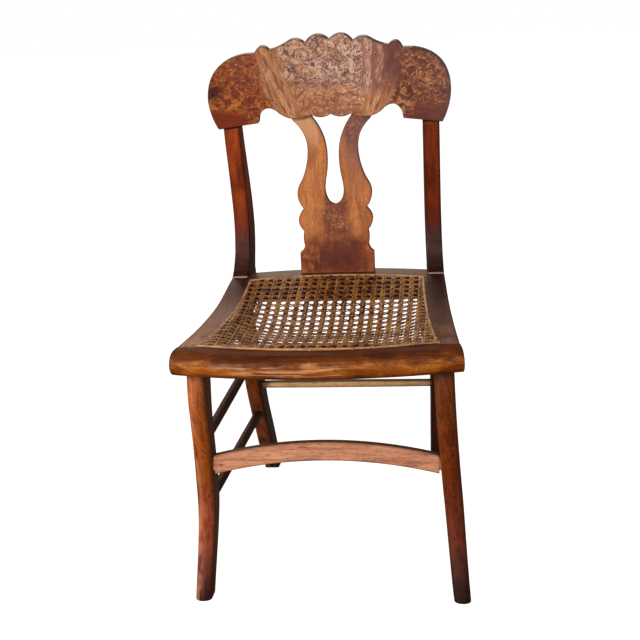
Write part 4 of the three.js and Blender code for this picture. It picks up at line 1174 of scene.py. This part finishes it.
for height_name, z in (("upper", UPPER_RUNG_Z), ("lower", LOWER_RUNG_Z)):
    x, front, depth = front_leg_axis(z)
    rear_front, rear_back = rear_leg_edges(z)
    rear_y = (rear_front + rear_back) / 2
    rings = rung([x, front + depth / 2, z], [outer_x(rear_y) - PLANK / 2, rear_y, z], RUNG_RADIUS,
                 depth / 2 + FRONT_SHOULDER, (rear_back - rear_front) / 2 + REAR_SHOULDER)
    for side, grid in both_sides(rings):
        made = skins(f"{side}_{height_name}_rung", [grid], rung_wood)
        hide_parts(f"{side}_{height_name}_side_stretcher")

rear_y = sum(rear_leg_edges(REAR_RUNG_Z)) / 2
reach = outer_x(rear_y) - PLANK - GAP
rear_rung = skins("rear_rung", [rung([-reach, rear_y, REAR_RUNG_Z], [reach, rear_y, REAR_RUNG_Z],
                                     REAR_RUNG_RADIUS, 0, 0)], rear_rung_wood)
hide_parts("rear_stretcher")

# %% Arched front stretcher
ARCH_Z = 235
ARCH_HEIGHT = 33.5
ARCH_RISE = 24
ARCH_THICKNESS = 10
ARCH_SETBACK = 6
ARCH_TENON_LENGTH = 13
ARCH_TENON_SHOULDER = 5
ARCH_TENON_THICKNESS = 5
ARCH_EASE = 1.2
ARCH_STEPS = 70


def arched_board():
    """Rounded rectangles across the chair, raised by a parabola, thinner where they are tenons."""
    leg_x, leg_front = front_leg_axis(ARCH_Z)[:2]
    splay = (FRONT_LEG_FOOT_X - FRONT_LEG_TOP_X) * ARCH_HEIGHT / LEG_HEIGHT
    half = leg_x - FRONT_LEG_WIDTH / 2 - GAP - splay
    end = half + ARCH_TENON_LENGTH
    x = np.concatenate([[-end, -half], np.linspace(-half, half, ARCH_STEPS), [half, end]])
    tenon = np.concatenate([[1, 1], np.zeros(ARCH_STEPS), [1, 1]])
    rise = ARCH_RISE * (1 - np.minimum(np.abs(x / half), 1) ** 2)
    low = ARCH_Z - ARCH_HEIGHT / 2 + rise + ARCH_TENON_SHOULDER * tenon
    high = ARCH_Z + ARCH_HEIGHT / 2 + rise - ARCH_TENON_SHOULDER * tenon
    thin = (ARCH_THICKNESS - ARCH_TENON_THICKNESS) / 2 * tenon
    front = leg_front + ARCH_SETBACK
    y, z, away = eased_box(front + thin, front + ARCH_THICKNESS - thin, low, high, ARCH_EASE)
    return placed(x[:, None], y, z), away


arch_rings, arch_edge = arched_board()
arch = skins("arched_stretcher", [arch_rings], arch_wood, [arch_edge])
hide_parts("front_stretcher")

# %% [markdown]
# ## Hand-caned seat
# The seat is woven in the six-way pattern: pairs of strands run front to back and side to side,
# and single strands cross on both diagonals, which leaves eight-sided holes. Each strand here
# is its own flat ribbon that rises and dips as it passes the others. A texture on a sheet would
# be lighter, but it would have no edges against the light that comes up through the holes.

# %% Shape of the caned surface
CANE_PITCH = 16.2
COLUMN_SPACING = 4.6
COLUMN_WIDTH = 4.3
ROW_SPACING = 4.2
ROW_WIDTH = 3.8
DIAGONAL_WIDTH = 3.3
STRAND_THICKNESS = 0.85
STRAND_U = np.array([-0.5, -0.3, 0.3, 0.5, 0.3, -0.3])
STRAND_V = np.array([0, 0.5, 0.5, 0, -0.5, -0.5])
PAIR_WAVE = 0.45
DIAGONAL_WAVE = 1.3
CANE_LEVEL = 1.75
FRAME_INSET = 1.5
COLUMN_PHASE = 5
ROW_PHASE = 2.5
CANE_SAG = 20
SAG_REAR_MARGIN = 42
SAG_SIDE_MARGIN = 3
STILL_MARGIN = 3
LIVELY_MARGIN = 12
STILL_SHARE = 0.2
SAG_MARKS = np.array([
    [0, 0], [0.09, 0.6], [0.34, 0.86], [0.53, 1], [0.66, 0.78], [0.79, 0.42], [0.91, 0.08], [1, 0],
])


def cane_front(x):
    """The caned panel's bowed front edge."""
    return CANE_CORNER_Y - CANE_FRONT_BOW * (1 - (x / CANE_FRONT_HALF) ** 2)


def cane_back(x):
    """The caned panel's bowed rear edge."""
    return CANE_REAR_Y + CANE_REAR_BOW * (1 - (x / CANE_REAR_HALF) ** 2)


def cane_height(x, y):
    """Height of the woven surface: the dish, less a hollow whose cubic ends at the sides."""
    across = np.clip(np.abs(x) / (cane_half(y) - LIP_WIDTH - SAG_SIDE_MARGIN), 0, 1)
    run = np.clip((y - FRONT_SEAM_Y) / (REAR_OPENING_Y - SAG_REAR_MARGIN - FRONT_SEAM_Y), 0, 1)
    return seat_top(y) + CANE_LEVEL - CANE_SAG * (1 - across ** 3) * flowing(run, *SAG_MARKS.T)


def on_panel(x, y):
    """Whether a place lies on the caned panel, inside the middle of the binder."""
    inside = (y < cane_back(x) - FRAME_INSET) & (y > cane_front(x) + FRAME_INSET)
    return inside & (np.abs(x) < cane_half(y) - FRAME_INSET)


def wave_room(x, y):
    """How far a strand may rise and dip: fully inside the panel, and hardly under the binder."""
    room = np.minimum(np.minimum(cane_back(x) - y, y - cane_front(x)), cane_half(y) - np.abs(x))
    return np.clip((room - STILL_MARGIN) / (LIVELY_MARGIN - STILL_MARGIN), STILL_SHARE, 1)


def ways(path):
    """The level directions along a path in the plan and across it, at each of its points."""
    ahead = np.pad(unit(np.gradient(path[:, :2], axis=0)), ((0, 0), (0, 1)))
    return ahead, np.cross(UP, ahead)


def ribbon(x, y, rise, width):
    """A flat ribbon along a path in the plan: six-sided sections, upright across the path."""
    path = np.column_stack([x, y, cane_height(x, y) + rise * wave_room(x, y)])
    side = ways(path)[1]
    u, v = STRAND_U * width, STRAND_V * STRAND_THICKNESS
    return path[:, None] + u[:, None] * side[:, None] + v[:, None] * UP


# %% Weave
rng = np.random.default_rng(7)
PAIRS_EACH_WAY = 16
DIAGONALS_EACH_WAY = 34
OFFSET_SPREAD = 0.12
STRAIGHT_DRIFT = 0.22
DIAGONAL_DRIFT = 0.25
WIDTH_SHARES = (0.9, 1.06)
FEWEST_POINTS = 8
DIAGONAL_STEP = 1 / 12
STRAIGHT_BEND_POINTS = 24
DIAGONAL_BEND_POINTS = 40
WAVE_STEPS = np.array([-1, -0.75, -0.5, -0.25, 0, 0.25, 0.5, 0.75, 1])


def pair_wave(s, spacing):
    """Over one strand of a pair and under the next: a sine across the crossing, flat elsewhere."""
    nearest = (s + CANE_PITCH / 2) % CANE_PITCH - CANE_PITCH / 2
    return np.where(np.abs(nearest) < spacing, PAIR_WAVE * np.sin(math.pi * nearest / spacing), 0)


def straight_strands(along_y):
    """Both strands of each pair in one direction, as ribbons."""
    made = []
    counts = np.arange(-PAIRS_EACH_WAY, PAIRS_EACH_WAY + 1)
    spacing, width = (COLUMN_SPACING, COLUMN_WIDTH) if along_y else (ROW_SPACING, ROW_WIDTH)
    crossed = ROW_SPACING if along_y else COLUMN_SPACING
    crossing = (counts[:, None] * CANE_PITCH + WAVE_STEPS * crossed).ravel()
    steps = np.union1d(crossing, (counts + 0.5) * CANE_PITCH)
    for line in counts:
        for half in (-1, 1):
            offset = line * CANE_PITCH + half * spacing / 2 + rng.normal(0, OFFSET_SPREAD)
            bends = steps[::STRAIGHT_BEND_POINTS]
            drift = np.interp(steps, bends, rng.normal(0, STRAIGHT_DRIFT, bends.size))
            if along_y:
                x, y = offset + drift + COLUMN_PHASE, steps + ROW_PHASE
            else:
                x, y = steps + COLUMN_PHASE, offset + drift + ROW_PHASE
            inside = on_panel(x, y)
            if inside.sum() < FEWEST_POINTS:
                continue
            sign = -half if along_y else half
            rise = sign * pair_wave(steps[inside], crossed)
            made.append(ribbon(x[inside], y[inside], rise, width * rng.uniform(*WIDTH_SHARES)))
    return made


def diagonal_strands(direction):
    """Single strands on one diagonal, over the pairs one way and under them the other way."""
    made = []
    for line in np.arange(-DIAGONALS_EACH_WAY, DIAGONALS_EACH_WAY + 1):
        x = np.arange(-PAIRS_EACH_WAY, PAIRS_EACH_WAY, DIAGONAL_STEP) * CANE_PITCH
        bends = x[::DIAGONAL_BEND_POINTS]
        drift = np.interp(x, bends, rng.normal(0, DIAGONAL_DRIFT, bends.size))
        y = direction * (x - (line + 0.5) * CANE_PITCH) + drift
        inside = on_panel(x + COLUMN_PHASE, y + ROW_PHASE)
        if inside.sum() < FEWEST_POINTS:
            continue
        rise = direction * DIAGONAL_WAVE * np.cos(2 * math.pi * x / CANE_PITCH)
        width = DIAGONAL_WIDTH * rng.uniform(*WIDTH_SHARES)
        made.append(ribbon(x[inside] + COLUMN_PHASE, y[inside] + ROW_PHASE, rise[inside], width))
    return made


def aged_cane():
    """Shiny cane gone golden brown: a tone for each strand, clouds of stain, painted glints and painted
    shade at the edges.
    """
    material, place = blank_finish("aged_golden_cane", 0.34, Coat_Weight=0.15)
    tone = add(place, "Attribute", attribute_name="tone").outputs["Fac"]
    fibres = marks(place, 1, 0.45, 0.65, 0.6)
    colour = coats(paint("#c8923e"), [
        (tone, "#7e4018"),
        (marks(place, (24, 20, 20), 0.46, 0.62, 0.9, 4), "#86462c", "MULTIPLY"),
        # Painted glints: pale flecks screened over the strands.
        (marks(place, (6, 4, 4), 0.54, 0.64, 0.7, 4), "#c89a70", "SCREEN"),
        (fibres, "#8a6040", "MULTIPLY"),
        # Painted shade: dark along each strand's edges.
        (by_edge(place, 0.8, 1.0), "#2c1206"),
    ])
    return joined(material, Base_Color=colour, Normal=bumped(fibres, 0.3, 0.05))


cane_finish = aged_cane()
weave = {
    "cane_columns": straight_strands(True),
    "cane_rows": straight_strands(False),
    "cane_rising_diagonals": diagonal_strands(1),
    "cane_falling_diagonals": diagonal_strands(-1),
}
from_edge = (0.5 - np.abs(STRAND_U)) * COLUMN_WIDTH
for name, grids in weave.items():
    edges = [np.tile(from_edge, (len(grid), 1)) for grid in grids]
    strands = skins(name, grids, cane_finish, edges, rng.uniform(0, 1, len(grids)))
    if name == "cane_columns":
        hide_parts("cane_panel")
    print(name, len(grids), "strands,", len(strands.data.polygons), "faces")

# %% [markdown]
# ## Binder
# A wider length of cane, the binder, covers the row of holes round the seat, and a thin strand
# loops over it from hole to hole. The binder is a low dome carried along each edge, and each
# loop is a short ribbon bent over it.

# %% Binder and its loops
BINDER_WIDTH = 5
BINDER_HEIGHT = 2.9
LOOP_PITCH = 2 * CANE_PITCH
LOOP_WIDTH = 2.2
LOOP_THICKNESS = 0.6
DOME_FULLNESS = 0.8


def binder(path):
    """A low dome carried along a path in the plan, and the loops over it."""
    ahead, side = ways(path)
    base = np.column_stack([path, seat_top(path[:, 1]) + GAP / 2])
    turn = np.linspace(0, math.pi, 9)
    dome = np.column_stack([np.cos(turn), np.sin(turn) ** DOME_FULLNESS])
    u, v = dome.T * np.array([[BINDER_WIDTH / 2], [BINDER_HEIGHT]])
    grids = [base[:, None] + u[:, None] * side[:, None] + v[:, None] * UP]
    run = np.append(0, np.cumsum(np.linalg.norm(np.diff(path, axis=0), axis=1)))
    for at in np.arange(LOOP_PITCH / 2, run[-1], LOOP_PITCH):
        i = np.searchsorted(run, at)
        grids.append(binder_loop(base[i], side[i], ahead[i], dome))
    return grids


def binder_loop(base, side, ahead, dome):
    """A ribbon bent over the binder: flat sections carried round its dome."""
    outer = dome * [BINDER_WIDTH / 2 + LOOP_THICKNESS, BINDER_HEIGHT + LOOP_THICKNESS]
    inner = dome * [BINDER_WIDTH / 2 - GAP, BINDER_HEIGHT - GAP]
    across = STRAND_U * LOOP_WIDTH
    middle = (outer + inner) / 2
    radial = np.stack([middle, outer, outer, middle, inner, inner], 1)
    return base + radial[..., :1] * side + radial[..., 1:] * UP + across[:, None] * ahead


binder_finish = plank("flat_binder_cane", "X", even("#dcb080"), gloss=0.4)
middle_inset = BINDER_WIDTH / 2
side_y = np.linspace(CANE_CORNER_Y + 1, CANE_REAR_Y - BINDER_WIDTH - GAP, 60)
side_path = np.column_stack([cane_half(side_y) - middle_inset, side_y])
front_x = np.linspace(-CANE_FRONT_HALF, CANE_FRONT_HALF, 70)
rear_x = np.linspace(-CANE_REAR_HALF, CANE_REAR_HALF, 60)
binder_paths = {
    "right_side_binder": side_path,
    "left_side_binder": side_path * [-1, 1],
    "front_binder": np.column_stack([front_x, cane_front(front_x) + middle_inset]),
    "rear_binder": np.column_stack([rear_x, cane_back(rear_x) - middle_inset]),
}
for node_name, path in binder_paths.items():
    made = skins(f"{node_name}_cane", binder(path), binder_finish)
    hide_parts(node_name)

# %% [markdown]
# ## Small parts that stay
# The dowels are bare beech inside the joints, and the screws and the nail are old iron. Their
# CAD meshes are right as they are, so they only get their finishes.

# %% Finishes of the small parts
dowel_wood = plank("bare_beech_dowels", "Z", even("#b8966a"), gloss=0.6, coat=0.0)


def old_iron():
    """Forged iron gone dull: dark metal with brown rust in soft patches."""
    material, place = blank_finish("dull_old_iron", 0.5, Metallic=0.85)
    patches = noise(place, 2, 5, Roughness=0.7)
    colour = ramped(patches, [(0.35, "#3b2a20"), (0.55, "#6b6259"), (0.75, "#8a847a")])
    return joined(material, Base_Color=colour, Normal=bumped(patches, 0.4, 0.1))


iron = old_iron()
for node_name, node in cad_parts.items():
    if node.hide_render:
        continue
    node.data.materials.clear()
    node.data.materials.append(dowel_wood if "dowel" in node_name else iron)
    print("kept CAD node:", node_name)

# %% [markdown]
# ## Floor and light
# The chair was photographed cut out on white. Here it stands on a pale floor that is white to
# the camera and keeps a soft shadow under the feet. Four soft lamps and an even sky light it at
# a plain level.

# %% Floor and lamps
FLOOR_SIZE = 12


def pale_floor():
    """Grey paint that the camera sees lit up to white, with a little of its shading kept."""
    material, place = blank_finish("matt_studio_floor", 0.9, Base_Color=paint("#7c7672"))
    glow = add(place, "Emission", {"Color": paint("#ffffff"), "Strength": 0.94}).outputs[0]
    paper = add(place, "BsdfDiffuse", {"Color": paint("#b4b2b0")}).outputs[0]
    seen = add(place, "AddShader", {0: glow, 1: paper}).outputs[0]
    ray = add(place, "LightPath").outputs["Is Camera Ray"]
    tree = material.node_tree
    unseen = tree.nodes["Principled BSDF"].outputs[0]
    mix = add(place, "MixShader", {0: ray, 1: unseen, 2: seen}).outputs[0]
    tree.links.new(mix, tree.nodes["Material Output"].inputs["Surface"])
    return material


floor_mesh = bpy.data.meshes.new("floor")
half = FLOOR_SIZE / 2
floor_mesh.from_pydata([(-half, -half, 0), (half, -half, 0), (half, half, 0), (-half, half, 0)],
                       [], [(0, 1, 2, 3)])
floor_mesh.materials.append(pale_floor())
floor = bpy.data.objects.new("floor", floor_mesh)
bpy.context.scene.collection.objects.link(floor)

world = bpy.data.worlds.new("studio")
bpy.context.scene.world = world
world.use_nodes = True
sky = world.node_tree.nodes["Background"]
ray = add(sky, "LightPath").outputs["Is Camera Ray"]
tint = add(sky, "MixRGB", {"Fac": ray, "Color1": paint("#ffeedd"), "Color2": paint("#ffffff")})
world.node_tree.links.new(ranged(ray, 0, 1, start=0.24), sky.inputs["Strength"])
world.node_tree.links.new(tint.outputs[0], sky.inputs["Color"])


def soft_lamp(name, place, aim, size, power, colour):
    """A square area lamp at a place in metres, turned to face a point."""
    lamp = bpy.data.objects.new(name, bpy.data.lights.new(name, "AREA"))
    lamp.data.size = size
    lamp.data.energy = power
    lamp.data.color = paint(colour)[:3]
    direction = unit(np.array(aim) - np.array(place))
    side = unit(np.cross(direction, UP))
    stand(lamp, side, np.cross(side, direction), -direction, place)


soft_lamp("window", (-2.3, -1.9, 1.5), (0, 0, 0.5), 1.2, 72, "#fff2e4")
soft_lamp("room", (0.9, -2.6, 2.4), (0, 0, 0.5), 1.2, 28, "#ffecd8")
soft_lamp("small_pane", (-0.25, -2.4, 1.15), (0, 0, 0.6), 0.5, 4, "#f6f2f4")
soft_lamp("far_window", (-0.6, 2.6, 1.8), (0, 0, 0.5), 1.5, 10, "#ffe2c8")

# %% [markdown]
# ## Finish
# The view transform is Standard, so that a colour renders about as it is written.

# %% Finish
bpy.context.scene.view_settings.view_transform = "Standard"
